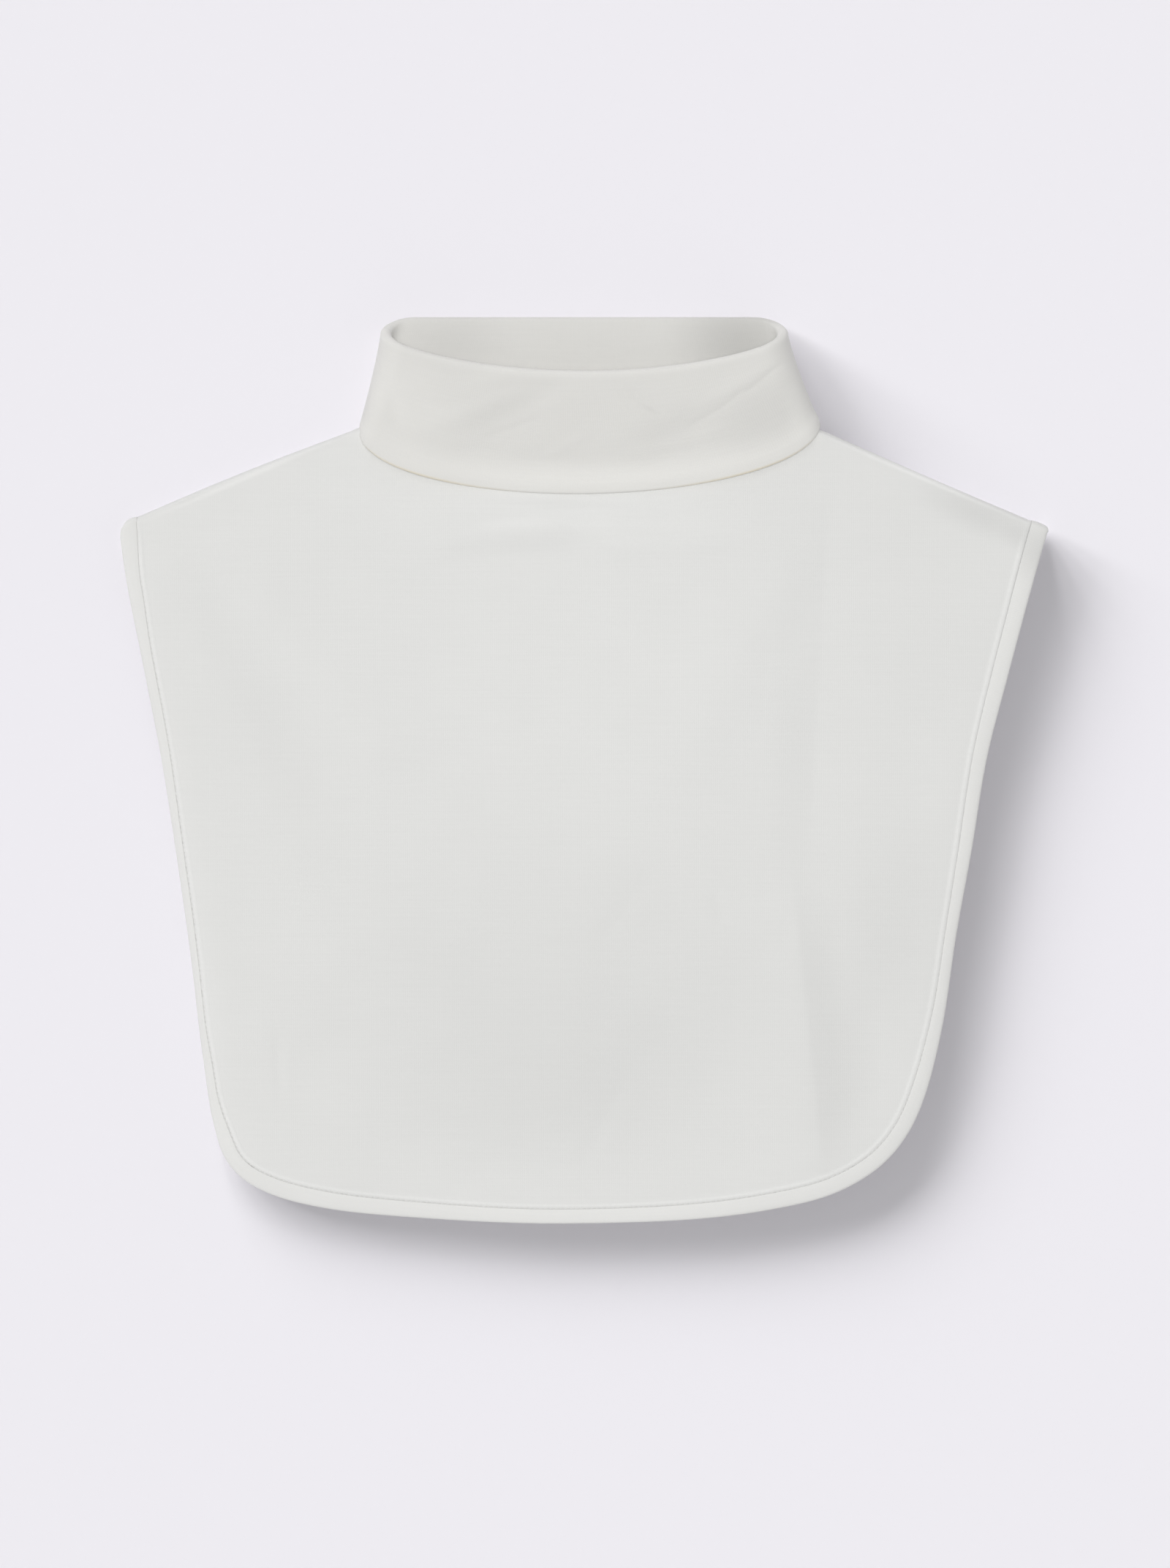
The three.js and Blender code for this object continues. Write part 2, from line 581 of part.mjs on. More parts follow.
function cloth(name, geometry, color, roughness) {
  const mesh = new THREE.Mesh(geometry, new THREE.MeshStandardMaterial({ color, roughness, metalness: 0 }));
  mesh.name = name;
  return mesh;
}

const front = panel(true);
const back = panel(false);
const dickey = new THREE.Group();
dickey.name = 'turtleneck_dickey';
dickey.add(
  cloth('front_panel', front.geometry, 0xe0e0dd, 0.95),
  cloth('back_panel', back.geometry, 0xe0e0dd, 0.95),
  cloth('collar', collarGeometry, 0xdfdeda, 0.95),
  cloth('edge_binding', bindingGeometry(front.edge, back.edge), 0xe4e4e0, 0.9),
);

// The origin is on the surface, under the middle of the whole.
const box = new THREE.Box3().setFromObject(dickey);
const middle = box.getCenter(new THREE.Vector3());
dickey.position.set(-middle.x, -middle.y, -box.min.z);

export default dickey;
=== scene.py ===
"""A turtleneck dickey of white cotton jersey, lying on its back with the collar turned down.

Metres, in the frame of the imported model: X to the right, Y from the hem towards the collar, Z up
from the surface. Each sewn piece is rebuilt as a fine cloth wall on the plan of its CAD solid.
"""
import math

import bpy
import numpy as np
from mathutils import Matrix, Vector, noise
from mathutils.kdtree import KDTree


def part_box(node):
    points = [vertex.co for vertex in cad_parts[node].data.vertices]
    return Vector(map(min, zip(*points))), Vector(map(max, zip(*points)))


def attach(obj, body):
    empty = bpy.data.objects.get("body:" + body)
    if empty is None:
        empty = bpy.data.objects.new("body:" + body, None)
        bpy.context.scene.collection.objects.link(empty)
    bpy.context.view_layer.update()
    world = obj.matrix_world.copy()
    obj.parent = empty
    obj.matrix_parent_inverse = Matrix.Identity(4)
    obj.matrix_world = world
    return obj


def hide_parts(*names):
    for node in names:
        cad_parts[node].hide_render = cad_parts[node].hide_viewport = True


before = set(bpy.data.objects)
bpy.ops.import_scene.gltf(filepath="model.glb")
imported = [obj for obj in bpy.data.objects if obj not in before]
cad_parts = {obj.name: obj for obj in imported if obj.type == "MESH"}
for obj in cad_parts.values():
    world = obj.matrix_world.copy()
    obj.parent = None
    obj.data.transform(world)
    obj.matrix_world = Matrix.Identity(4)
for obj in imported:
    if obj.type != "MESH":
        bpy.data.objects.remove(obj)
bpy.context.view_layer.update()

# Cloth walls, and the clearance left between pieces that are sewn together
PANEL_WALL = 0.0012
COLLAR_WALL = 0.002
BINDING_WALL = 0.001
BINDING_WIDTH = 0.008
CLEARANCE = 0.0004

# Plan of the panels. Lengths along Y are counted from the collar's lower corners.
SHOULDER_WIDTH = 0.3944
SHOULDER_DROP = 0.0415
LEFT_SHOULDER_BOW = 0.0012
RIGHT_SHOULDER_BOW = -0.0004
# How much higher than the CAD model's each shoulder line lies, at the neck and at the tip, and the
# share of the line over which that begins
SHOULDER_LIFTS = {-1: (-0.0006, 0.002), 1: (0.0012, 0.0005)}
LIFT_BEGINS = 0.1
FRONT_LENGTH = 0.3362
BACK_LENGTH = 0.318
BACK_INSET = 0.010
BACK_INSET_RUN = 0.070

# Plan of the collar. Widths are those of the flattened tube, outside.
COLLAR_BASE_WIDTH = 0.198
COLLAR_RIM_WIDTH = 0.173
NECK_SEAM_WIDTH = 0.183
FRONT_NECK_DIP = 0.0225
BACK_NECK_DIP = 0.003
NECK_CURVE = 2.5
RIM_BACK = 0.0496
RIM_SIDE = 0.0438
RIM_FRONT = 0.027
RIM_CORNER = 0.014
TURNDOWN_DIP = 0.027
TURNDOWN_BACK_DIP = 0.0045
TURNDOWN_FLARE = 1.2
TURN_GAP = 0.0008
# Corner radii of the flattened tube's sections, as shares of half their thickness
STAND_CORNER = 0.98
EDGE_CORNER = 0.55

# Heights above the surface
RIM_HOLLOW = 0.0124
NECK_HOLLOW = 0.008
COLLAR_EDGE_REST = 0.0003
COLLAR_EDGE_LIFT = 0.0017
TIP_FOLD_RADIUS = 0.0029
EDGE_LOFT = 0.008
CHEST_CROWN = 0.0016
FOLD_DEPTH = 0.0024
BACK_SETTLE = 0.034
EDGE_SETTLE = 0.016
FOLD_MARGIN = 0.06
FOLD_TAPER = 0.2
PLEAT_BREADTH = 2.5

# Outline of the front from the left shoulder tip round the hem to the right one:
# x as a share of half the shoulder width, down as a share of the length from tip to hem
FRONT_OUTLINE = [
    (-1.003, 0), (-0.987, 0.08), (-0.95, 0.205), (-0.913, 0.332), (-0.881, 0.467),
    (-0.849, 0.617), (-0.826, 0.746), (-0.801, 0.856), (-0.764, 0.919), (-0.683, 0.957),
    (-0.548, 0.98), (-0.365, 0.992), (-0.13, 1), (0.09, 0.999), (0.26, 0.993), (0.406, 0.98),
    (0.532, 0.959), (0.631, 0.922), (0.697, 0.872), (0.74, 0.806), (0.7745, 0.709),
    (0.802, 0.586), (0.836, 0.46), (0.868, 0.331), (0.916, 0.205), (0.966, 0.08), (1.0, 0),
]

# The front's bound edge: share of the way along that outline, heights of the rim and of the seam as
# shares of EDGE_LOFT, and share of the binding's width that shows where the rest has rolled under
FRONT_EDGE = [
    (0, 0.96, 0.98, 1), (0.03, 0.8, 0.96, 0.78), (0.07, 0.5, 0.84, 0.62), (0.18, 0.26, 0.62, 0.46),
    (0.25, 0.22, 0.56, 0.4), (0.285, 0.28, 0.6, 0.52), (0.32, 0.35, 0.66, 0.84),
    (0.36, 0.44, 0.72, 0.95), (0.5, 0.6, 0.74, 0.8), (0.62, 0.62, 0.8, 0.9), (0.7, 0.66, 0.86, 0.85),
    (0.78, 0.7, 0.92, 0.64), (0.86, 0.8, 0.97, 0.78), (0.94, 0.9, 1.0, 0.92), (1, 0.96, 0.98, 1),
]

# Lift of the collar's turned-down edge: place across its half width, and share of COLLAR_EDGE_LIFT
EDGE_LIFTS = [(-1, 0.9), (-0.78, 1), (-0.4, 0.1), (0.3, 0.05), (0.78, 1), (1, 0.9)]

# Soft folds of the front: both ends as x and down, width, height. x and width are shares of half the
# shoulder width, down of the front's length. height is a share of FOLD_DEPTH, a valley below zero.
FRONT_FOLDS = [
    (0.62, 0.1, 0.58, 0.7, 0.1, 0.35),
    (0.45, 0.1, 0.2, 0.36, 0.08, 0.35),
    (-0.83, 0.12, -0.5, 0.41, 0.07, -0.34),
    (-0.76, 0.1, -0.4, 0.36, 0.06, 0.26),
    (-0.84, 0.18, -0.66, 0.41, 0.05, 0.25),
    (-0.27, 0.085, 0.03, 0.07, 0.045, -0.4),
    (-0.55, 0.6, 0.4, 0.57, 0.16, 0.5),
    (-0.4, 0.84, 0.3, 0.82, 0.17, -0.4),
]
# Sharp folds in the same columns. The steep side is to the right, or to the left where width is
# negative.
FRONT_PLEATS = [
    (0.45, 0.52, 0.513, 0.87, 0.075, 0.65),
    (0.522, 0.04, 0.486, 0.44, -0.11, -0.6),
]

# How finely each form is divided
CURL_ROWS = 8
OUTLINE_STEPS = 4000
TANGENT_STEP = 0.0005
LEFT_HEM_CORNER = 0.335
RIGHT_HEM_CORNER = 0.66
# Distances from a bound edge's seam at which its panel has extra rows of points
SEAM_ROWS = (0.0005, 0.001, 0.0015, 0.002, 0.0026, 0.0034, 0.0045)
GRID_STEP = 0.0018

# Collar levels worked out from the walls and hollows
TURN_PITCH = COLLAR_WALL + TURN_GAP
TURN_BACK_Z = COLLAR_WALL / 2
STAND_BACK_Z = TURN_BACK_Z + TURN_PITCH
STAND_RIM_Z = STAND_BACK_Z + COLLAR_WALL + RIM_HOLLOW
STAND_NECK_Z = STAND_BACK_Z + COLLAR_WALL + NECK_HOLLOW
TURN_RIM_Z = STAND_RIM_Z + TURN_PITCH
TURN_EDGE_Z = STAND_NECK_Z + (PANEL_WALL + COLLAR_WALL) / 2 + COLLAR_EDGE_REST
NECK_MID_Z = (STAND_BACK_Z + STAND_NECK_Z) / 2
BINDING_HALF = PANEL_WALL / 2 + CLEARANCE + BINDING_WALL
TIP_MID_Z = BINDING_HALF + TIP_FOLD_RADIUS

TIP_X = SHOULDER_WIDTH / 2
TIP_Y = -SHOULDER_DROP
NECK_X = NECK_SEAM_WIDTH / 2
SHOULDER_SLOPE = SHOULDER_DROP / (TIP_X - COLLAR_BASE_WIDTH / 2)
NECK_Y = (COLLAR_BASE_WIDTH / 2 - NECK_X) * SHOULDER_SLOPE
# The shoulder folds are pressed tighter in plan than the CAD model's quarter rounds
SHOULDER_PRESS = 0.5
NECK_CURL = (NECK_HOLLOW + COLLAR_WALL) / 2 * SHOULDER_PRESS
TIP_CURL = TIP_FOLD_RADIUS * SHOULDER_PRESS

# The plan's zero is at the collar's lower corners, below the rim's middle.
collar_low, collar_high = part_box("collar")
PLACE = np.array([(collar_low[0] + collar_high[0]) / 2, collar_high[1] - RIM_BACK, 0])


def lerp(a, b, share):
    return a + (b - a) * share


def smooth(value, low, high):
    share = np.clip((value - low) / (high - low), 0, 1)
    return share * share * (3 - 2 * share)


def arch(share):
    return np.sqrt(np.maximum(0, 1 - share * share))


def unit(vectors):
    return vectors / np.maximum(np.linalg.norm(vectors, axis=-1, keepdims=True), 1e-12)


def eased(at, keys, values):
    """Values at places between the keys of a table, easing from key to key."""
    i = np.clip(np.searchsorted(keys, at, side="right") - 1, 0, len(keys) - 2)
    return lerp(values[i], values[i + 1], smooth(at, keys[i], keys[i + 1]))


def shoulder_y(sign, share):
    bow = LEFT_SHOULDER_BOW if sign < 0 else RIGHT_SHOULDER_BOW
    lift = lerp(*SHOULDER_LIFTS[sign], share) * np.minimum(share / LIFT_BEGINS, 1)
    return lerp(NECK_Y, TIP_Y, share) + bow * np.sin(np.pi * share) + lift


CORNER_SHARE = (COLLAR_BASE_WIDTH / 2 - NECK_X) / (TIP_X - NECK_X)
SEAM_AT_CORNER = max(shoulder_y(-1, CORNER_SHARE), shoulder_y(1, CORNER_SHARE))
TURN_SIDE_Y = SEAM_AT_CORNER + (PANEL_WALL + COLLAR_WALL) / 2 + 2 * CLEARANCE


# Meshes

def new_object(name, data):
    obj = bpy.data.objects.new(name, data)
    bpy.context.scene.collection.objects.link(obj)
    return obj


def cloth_object(name, points, faces, uvs=None):
    """A mesh object of quads with smooth shading and a UV map in metres, the plan unless given."""
    mesh = bpy.data.meshes.new(name)
    points = points.reshape(-1, 3)
    faces = np.asarray(faces, np.int32)
    uvs = points[faces][..., :2] if uvs is None else uvs
    points = np.asarray(points, np.float32) + PLACE.astype(np.float32)
    mesh.vertices.add(len(points))
    mesh.vertices.foreach_set("co", points.ravel())
    mesh.loops.add(faces.size)
    mesh.loops.foreach_set("vertex_index", faces.ravel())
    mesh.polygons.add(len(faces))
    mesh.polygons.foreach_set("loop_start", np.arange(0, faces.size, faces.shape[1], dtype=np.int32))
    mesh.polygons.foreach_set("use_smooth", np.ones(len(faces), bool))
    layer = mesh.uv_layers.new(name="cloth")
    layer.data.foreach_set("uv", np.asarray(uvs, np.float32).ravel())
    mesh.update(calc_edges=True)
    mesh.validate()
    return new_object(name, mesh)


def ring_faces(rows, columns):
    """Quads of a torus-like grid of points, closed both ways, and their grid corners."""
    i, j = np.meshgrid(np.arange(rows), np.arange(columns), indexing="ij")
    i, j = i.ravel(), j.ravel()
    corners = [(i, j), (i + 1, j), (i + 1, j + 1), (i, j + 1)]
    faces = np.stack([(a % rows) * columns + b % columns for a, b in corners], axis=1)
    return faces, corners


def spokes(side, up, sides):
    """Directions from each place of a line to the points of a ring round it."""
    angles = 2 * np.pi * np.arange(sides)[:, None] / sides
    return side[:, None] * np.cos(angles) + up[:, None] * np.sin(angles)


def tube_faces(rings, sides):
    """Quads of an open tube of rings with an even number of sides, and those that close its ends."""
    faces, _ = ring_faces(rings, sides)
    end = (rings - 1) * sides
    fan = np.array([(0, k, k + 1, k + 2) for k in range(1, sides - 1, 2)])
    return np.concatenate([faces[:end], fan, fan[:, ::-1] + end])


def ring_object(name, sections, around, along):
    """A closed ring of closed sections. around and along are the real lengths at each grid line."""
    rows, columns = sections.shape[:2]
    faces, corners = ring_faces(rows, columns)
    uvs = np.stack([np.stack([around[a], along[b]], axis=-1) for a, b in corners], axis=1)
    return cloth_object(name, sections, faces, uvs)


def running_length(points):
    """Length from the first of some points to each of them."""
    steps = np.linalg.norm(np.diff(points, axis=0), axis=1)
    return np.concatenate([[0], np.cumsum(steps)])


def closed(points):
    return np.concatenate([points, points[:1]])


def along_line(line, run, distance):
    return np.stack([np.interp(distance, run, column) for column in line.T], axis=-1)


# The flattened tube that the collar and the neckline follow

def stations(front, columns, corner_steps):
    """Places round the tube, each with its corner centre (cx, cz) and outward direction (nx, nz)."""
    def corner(cx, cz, start):
        angles = np.radians(start - 90 * np.arange(corner_steps) / corner_steps)
        return [(cx, cz, math.cos(a), math.sin(a)) for a in angles]

    def line(cz, nz, sign):
        return [(x, cz, 0, nz) for x in np.linspace(sign, -sign, columns + 1)]

    sign, level, start = (-1, 1, 180) if front else (1, 0, 0)
    rows = [(sign, 0.5, sign, 0), *corner(sign, level, start), *line(level, -sign, sign)]
    rows += [*corner(-sign, level, start - 90 - 90 / corner_steps), (-sign, 0.5, -sign, 0)]
    return np.array(rows, float)


def on_section(at, half_width, back_z, front_z, corner):
    radius = corner * (front_z - back_z) / 2
    x = at[:, 0] * (half_width - radius) + at[:, 2] * radius
    z = lerp(back_z + radius, front_z - radius, at[:, 1]) + at[:, 3] * radius
    return np.stack([x, np.zeros_like(x), z], axis=1)


def neck_points(at):
    p = on_section(at, NECK_X, STAND_BACK_Z, STAND_NECK_Z, STAND_CORNER)
    dip = np.where(at[:, 1] > 0.5, FRONT_NECK_DIP, BACK_NECK_DIP)
    p[:, 1] = NECK_Y - dip * (1 - np.abs(p[:, 0] / NECK_X) ** NECK_CURVE)
    return p


def rim_level(at, x, half_width):
    front = RIM_SIDE - (RIM_SIDE - RIM_FRONT) * arch(x / half_width)
    front -= RIM_SAG * (1 - (x / half_width) ** 2) ** 2
    corner = np.maximum(0, np.abs(x) - (half_width - RIM_CORNER)) / RIM_CORNER
    back = RIM_SIDE + (RIM_BACK - RIM_SIDE) * arch(corner)
    return np.where(at[:, 1] > 0.5, front, back)


# The collar

# How much lower the cloth of the front rim sags in its middle than the CAD model's
RIM_SAG = 0.0018
# The free edge hangs lower towards the left, and a little to the right of the CAD model's
EDGE_SAG = 0.0017
EDGE_SHIFTS = (0.0036, 0.001)
COLLAR_FRONT_COLUMNS = 190
COLLAR_BACK_COLUMNS = 120
COLLAR_CORNER_STEPS = 12
TURNDOWN_STEPS = 44
ROLL_STEPS = 10
STAND_STEPS = 16
FOLD_END_STEPS = 6
# The free edge is a fold that swells: how far, how far up its cloth, and over what width
EDGE_SWELL = 0.0004
EDGE_SWELL_AT = 0.0034
EDGE_SWELL_WIDTH = 0.0026

CREASE_DEPTH = 0.0024
# Shares of the way from the free edge to the rim over which creases fade in at either end
CREASE_FREE_EDGE = 0.12
CREASE_FREE_RIM = 0.15
# Creases of the turned-down front: both ends as x and up, width, height. x and width are shares of
# half the base width, up of the way from the free edge to the rim, height of CREASE_DEPTH.
COLLAR_CREASES = [
    (0.46, 0.5, 0.6, 0.6, 0.016, -0.24),
    (0.6, 0.6, 0.68, 0.7, 0.014, -0.2),
    (0.68, 0.66, 0.84, 0.8, 0.02, -0.2),
    (0.5, 0.66, 0.8, 0.84, 0.05, 0.16),
    (-0.7, 0.26, -0.05, 0.8, 0.12, 0.4),
    (-0.76, 0.5, -0.2, 0.95, 0.1, -0.35),
    (-0.42, 0.42, -0.2, 0.62, 0.02, -0.12),
    (0.2, 0.86, 0.34, 0.62, 0.03, -0.2),
    (-0.16, 0.3, 0.02, 0.5, 0.03, 0.1),
    (-0.3, 0.24, 0.35, 0.2, 0.1, -0.3),
    (0.2, 0.3, 0.6, 0.42, 0.06, 0.18),
    (-0.86, 0.7, -0.8, 0.3, 0.04, -0.2),
    (0.86, 0.6, 0.9, 0.25, 0.04, -0.2),
]


def soft_fold(offset):
    return np.exp(-offset * offset)


def pleat(offset):
    """A fold with one steep side and one broad one, and a sharp line between them."""
    broad = np.exp(-((offset / PLEAT_BREADTH) ** 2))
    return np.where(offset >= 0, np.maximum(0, 1 - offset) ** 2, broad)


def fold_relief(rows, x, y, depth, profile=soft_fold):
    """Summed heights of folds, each a ridge or valley along its line that fades at its ends."""
    total = np.zeros_like(x)
    for x0, y0, x1, y1, width, height in rows:
        run = (x1 - x0, y1 - y0)
        length = math.hypot(*run)
        dx, dy = x - x0, y - y0
        along = (dx * run[0] + dy * run[1]) / length**2
        offset = (dx * run[1] - dy * run[0]) / length / width
        ends = smooth(along, -FOLD_TAPER, FOLD_TAPER) * smooth(1 - along, -FOLD_TAPER, FOLD_TAPER)
        total += depth * height * profile(offset) * ends
    return total


def collar_lines(at):
    """Middle line of the collar's cloth at each station, from the free edge over the rim to the seam,
    with the outward direction at each of its points."""
    outward = np.stack([at[:, 2], np.zeros(len(at)), at[:, 3]], axis=1)
    up = np.array([0.0, 1.0, 0.0])
    is_front = at[:, 1] > 0.5
    rim_half = COLLAR_RIM_WIDTH / 2 - COLLAR_WALL / 2
    rim = on_section(at, rim_half, TURN_BACK_Z, TURN_RIM_Z, STAND_CORNER)
    radius = TURN_PITCH / 2
    rim[:, 1] = rim_level(at, rim[:, 0], rim_half) - radius - COLLAR_WALL / 2

    base_half = COLLAR_BASE_WIDTH / 2 - COLLAR_WALL / 2
    probe = on_section(at, base_half, TURN_BACK_Z, TURN_EDGE_Z, EDGE_CORNER)
    lift = eased(probe[:, 0] / base_half, *np.array(EDGE_LIFTS).T)
    edge = on_section(at, base_half, TURN_BACK_Z, TURN_EDGE_Z + COLLAR_EDGE_LIFT * lift, EDGE_CORNER)
    dip = np.where(is_front, TURNDOWN_DIP, TURNDOWN_BACK_DIP)
    edge[:, 1] = TURN_SIDE_Y - dip * arch(edge[:, 0] / base_half)
    edge[:, 1] -= np.where(is_front, EDGE_SAG * (1 - edge[:, 0] / base_half), 0)
    edge[:, 0] += lerp(*EDGE_SHIFTS, (1 + edge[:, 0] / base_half) / 2)

    points, outs = [], []
    for share in np.linspace(0, 1, TURNDOWN_STEPS + 1):
        p = lerp(rim, edge, (1 - share) ** TURNDOWN_FLARE)
        p[:, 1] = lerp(edge[:, 1], rim[:, 1], share)
        up_share = np.full(len(p), share)
        relief = fold_relief(COLLAR_CREASES, p[:, 0] / base_half, up_share, CREASE_DEPTH)
        facing = np.clip(at[:, 3], 0, 1)
        facing *= smooth(share, 0, CREASE_FREE_EDGE) * smooth(1 - share, 0, CREASE_FREE_RIM)
        points.append(p + outward * (relief * facing)[:, None])
        outs.append(outward)
    centre = rim - outward * radius
    for i in range(1, ROLL_STEPS):
        angle = math.pi * i / ROLL_STEPS
        out = outward * math.cos(angle) + up * math.sin(angle)
        points.append(centre + out * radius)
        outs.append(out)
    stand_top = centre - outward * radius
    seam = neck_points(at)
    seam[:, 1] += CLEARANCE + (PANEL_WALL / 2 + CLEARANCE / 2) * np.abs(at[:, 2])
    for share in np.linspace(0, 1, STAND_STEPS + 1):
        points.append(lerp(stand_top, seam, share))
        outs.append(-outward)
    return np.stack(points, axis=1), np.stack(outs, axis=1)


def make_collar():
    front = stations(True, COLLAR_FRONT_COLUMNS, COLLAR_CORNER_STEPS)
    back = stations(False, COLLAR_BACK_COLUMNS, COLLAR_CORNER_STEPS)
    at = np.concatenate([front, back[1:-1]])
    lines, outs = collar_lines(at)
    steps = np.linalg.norm(np.diff(lines, axis=1), axis=2)
    run = np.concatenate([np.zeros((len(at), 1)), np.cumsum(steps, axis=1)], axis=1)
    swell = EDGE_SWELL * np.exp(-(((run - EDGE_SWELL_AT) / EDGE_SWELL_WIDTH) ** 2))
    swell *= (at[:, 1] > 0.5)[:, None]
    half = COLLAR_WALL / 2
    outer = lines + outs * (half + swell)[..., None]
    inner = lines - outs * half
    down = np.array([0, -1.0, 0])
    angles = np.pi * np.arange(FOLD_END_STEPS - 1, 0, -1)[:, None] / FOLD_END_STEPS
    ends = lines[:, :1] + half * (outs[:, :1] * np.cos(angles) + down * np.sin(angles))
    sections = np.concatenate([ends, outer, inner[:, ::-1]], axis=1)
    around = running_length(closed(lines[:, TURNDOWN_STEPS]))
    along = running_length(closed(sections[len(front) // 2]))
    return ring_object("collar_cloth", sections, around, along)


# The bound edge, shared by the panels, the binding and its stitches

def outline_points(front):
    """The outline in plan as a dense polyline: a Catmull-Rom curve through the table's points."""
    drop = FRONT_LENGTH - SHOULDER_DROP
    shorter = 1 if front else (BACK_LENGTH - SHOULDER_DROP) / drop
    table = np.array(FRONT_OUTLINE, float)
    inset = 0 if front else BACK_INSET * smooth(table[:, 1] * drop, 0, BACK_INSET_RUN)
    x = table[:, 0] * TIP_X - np.sign(table[:, 0]) * inset
    tips = lerp(shoulder_y(-1, 1), shoulder_y(1, 1), smooth(table[:, 0], -1, 1))
    y = tips - table[:, 1] * (drop + tips - TIP_Y) * shorter
    p = np.stack([x, y], axis=1)
    t = np.linspace(0, len(p) - 1, OUTLINE_STEPS)
    i = np.minimum(t.astype(int), len(p) - 2)
    s = (t - i)[:, None]
    p0, p1 = p[np.maximum(i - 1, 0)], p[i]
    p2, p3 = p[i + 1], p[np.minimum(i + 2, len(p) - 1)]
    v0, v1 = (p2 - p0) / 2, (p3 - p1) / 2
    return (2 * p1 - 2 * p2 + v0 + v1) * s**3 + (-3 * p1 + 3 * p2 - 2 * v0 - v1) * s**2 + v0 * s + p1


# Heights of the front's and the back's face at a shoulder tip and at the neckline
TIP_FACE = {True: TIP_MID_Z + TIP_FOLD_RADIUS, False: TIP_MID_Z - TIP_FOLD_RADIUS}
NECK_FACE = {True: STAND_NECK_Z, False: STAND_BACK_Z}


def curl_points(seam, face, reach, rows=CURL_ROWS):
    """Rows of points that turn a quarter round from the seam onto the panel's face."""
    angle = (np.pi / 2) * np.linspace(0, 1, rows + 1)[:, None]
    p = np.repeat(seam[None], rows + 1, axis=0)
    p[..., 1] -= reach * (1 - np.cos(angle))
    p[..., 2] = lerp(seam[:, 2], face, np.sin(angle))
    return p


# How far in the left tip's corner is rounded off, and over what length
TIP_ROUNDING = 0.003
TIP_ROUNDED = 0.006
# Length over which the binding turns from the shoulder's direction to its outline's
TIP_TURN = 3 * BINDING_WIDTH


def tip_inset(sign, from_tip):
    """How far the rim lies inside the outline near a tip."""
    turned = np.minimum(from_tip / TIP_ROUNDED, 1)
    return np.where(sign < 0, TIP_ROUNDING * (1 - arch(1 - turned)), 0)


def bound_edge(front, side_count, hem_count):
    """The binding's outer rim and the seam line that it ends on, from tip to tip.
    side_count places lie along each side, and hem_count from corner to corner of the hem."""
    outline = outline_points(front)
    run = running_length(outline)
    length = run[-1]
    left, right = length * LEFT_HEM_CORNER, length * RIGHT_HEM_CORNER
    share = np.linspace(0, 1, side_count + 1)
    cornerward = (share + np.sin(np.pi / 2 * share)) / 2
    start = lerp(TIP_CURL, left, cornerward)
    end = lerp(length - TIP_CURL, right, cornerward)[::-1]
    distance = np.concatenate([start, np.linspace(left, right, hem_count + 1)[1:], end[1:]])
    sign = np.where(distance < length / 2, -1.0, 1.0)
    before, after = np.maximum(distance - TANGENT_STEP, 0), np.minimum(distance + TANGENT_STEP, length)
    tangent = unit(along_line(outline, run, after) - along_line(outline, run, before))
    from_tip = np.minimum(distance, length - distance)
    blend = smooth(from_tip, 0, TIP_TURN)
    shoulder = unit(np.stack([-sign, np.full(len(sign), SHOULDER_SLOPE)], axis=1))
    inward = unit(lerp(shoulder, np.stack([-tangent[:, 1], tangent[:, 0]], axis=1), blend[:, None]))
    if front:
        along, *columns = np.array(FRONT_EDGE).T
        rim_z, seam_z, width = (eased(distance / length, along, c) for c in columns)
        rim_z, seam_z, width = rim_z * EDGE_LOFT, seam_z * EDGE_LOFT, width * BINDING_WIDTH
    else:
        rim_z = seam_z = lerp(TIP_FACE[False], BINDING_HALF, blend)
        width = np.full(len(distance), BINDING_WIDTH)
    rim_xy = along_line(outline, run, distance)
    rim = np.column_stack([rim_xy + inward * tip_inset(sign, from_tip)[:, None], rim_z])
    seam = np.column_stack([rim_xy + inward * width[:, None], seam_z])

    def curl(sign):
        corner = np.array([[sign * TIP_X, shoulder_y(sign, 1), TIP_MID_Z]])
        inwards = np.append(unit(np.array([-sign, SHOULDER_SLOPE])), 0)
        begin = corner + inwards * BINDING_WIDTH
        rim, seam = (curl_points(p, TIP_FACE[front], TIP_CURL)[:-1, 0] for p in (corner, begin))
        return rim + inwards * tip_inset(sign, corner[0, 1] - rim[:, 1])[:, None], seam

    left_rim, left_seam = curl(-1)
    right_rim, right_seam = curl(1)
    sides = (left_rim, rim, right_rim), (left_seam, seam, right_seam)
    return [np.concatenate([left, middle, right[::-1]]) for left, middle, right in sides]


# The panels

def refined(length, near_start, near_end):
    """Shares from 0 to 1 about GRID_STEP apart, with extra rows near the ends that meet a seam."""
    close = np.array(SEAM_ROWS) / length
    low = close if near_start else np.array([])
    high = 1 - close[::-1] if near_end else np.array([])
    start = low[-1] if near_start else 0
    end = high[0] if near_end else 1
    middle = np.linspace(start, end, int(round((end - start) * length / GRID_STEP)) + 1)[1:-1]
    return np.concatenate([[0], low, middle, high, [1]])


def resample(points, shares):
    """Points at shares of a polyline's length."""
    run = running_length(points)
    return along_line(points, run, shares * run[-1])


# The soft folds' and the creases' full height, in FOLD_DEPTHs
FOLD_SHOW = 1.1
CREASE_SHOW = 2
# The fine undulation of the cloth, and the share of a smaller one that is a third as long
RIPPLE_DEPTH = 0.00022
RIPPLE_SIZE = 0.055
SMALL_RIPPLE = 0.4

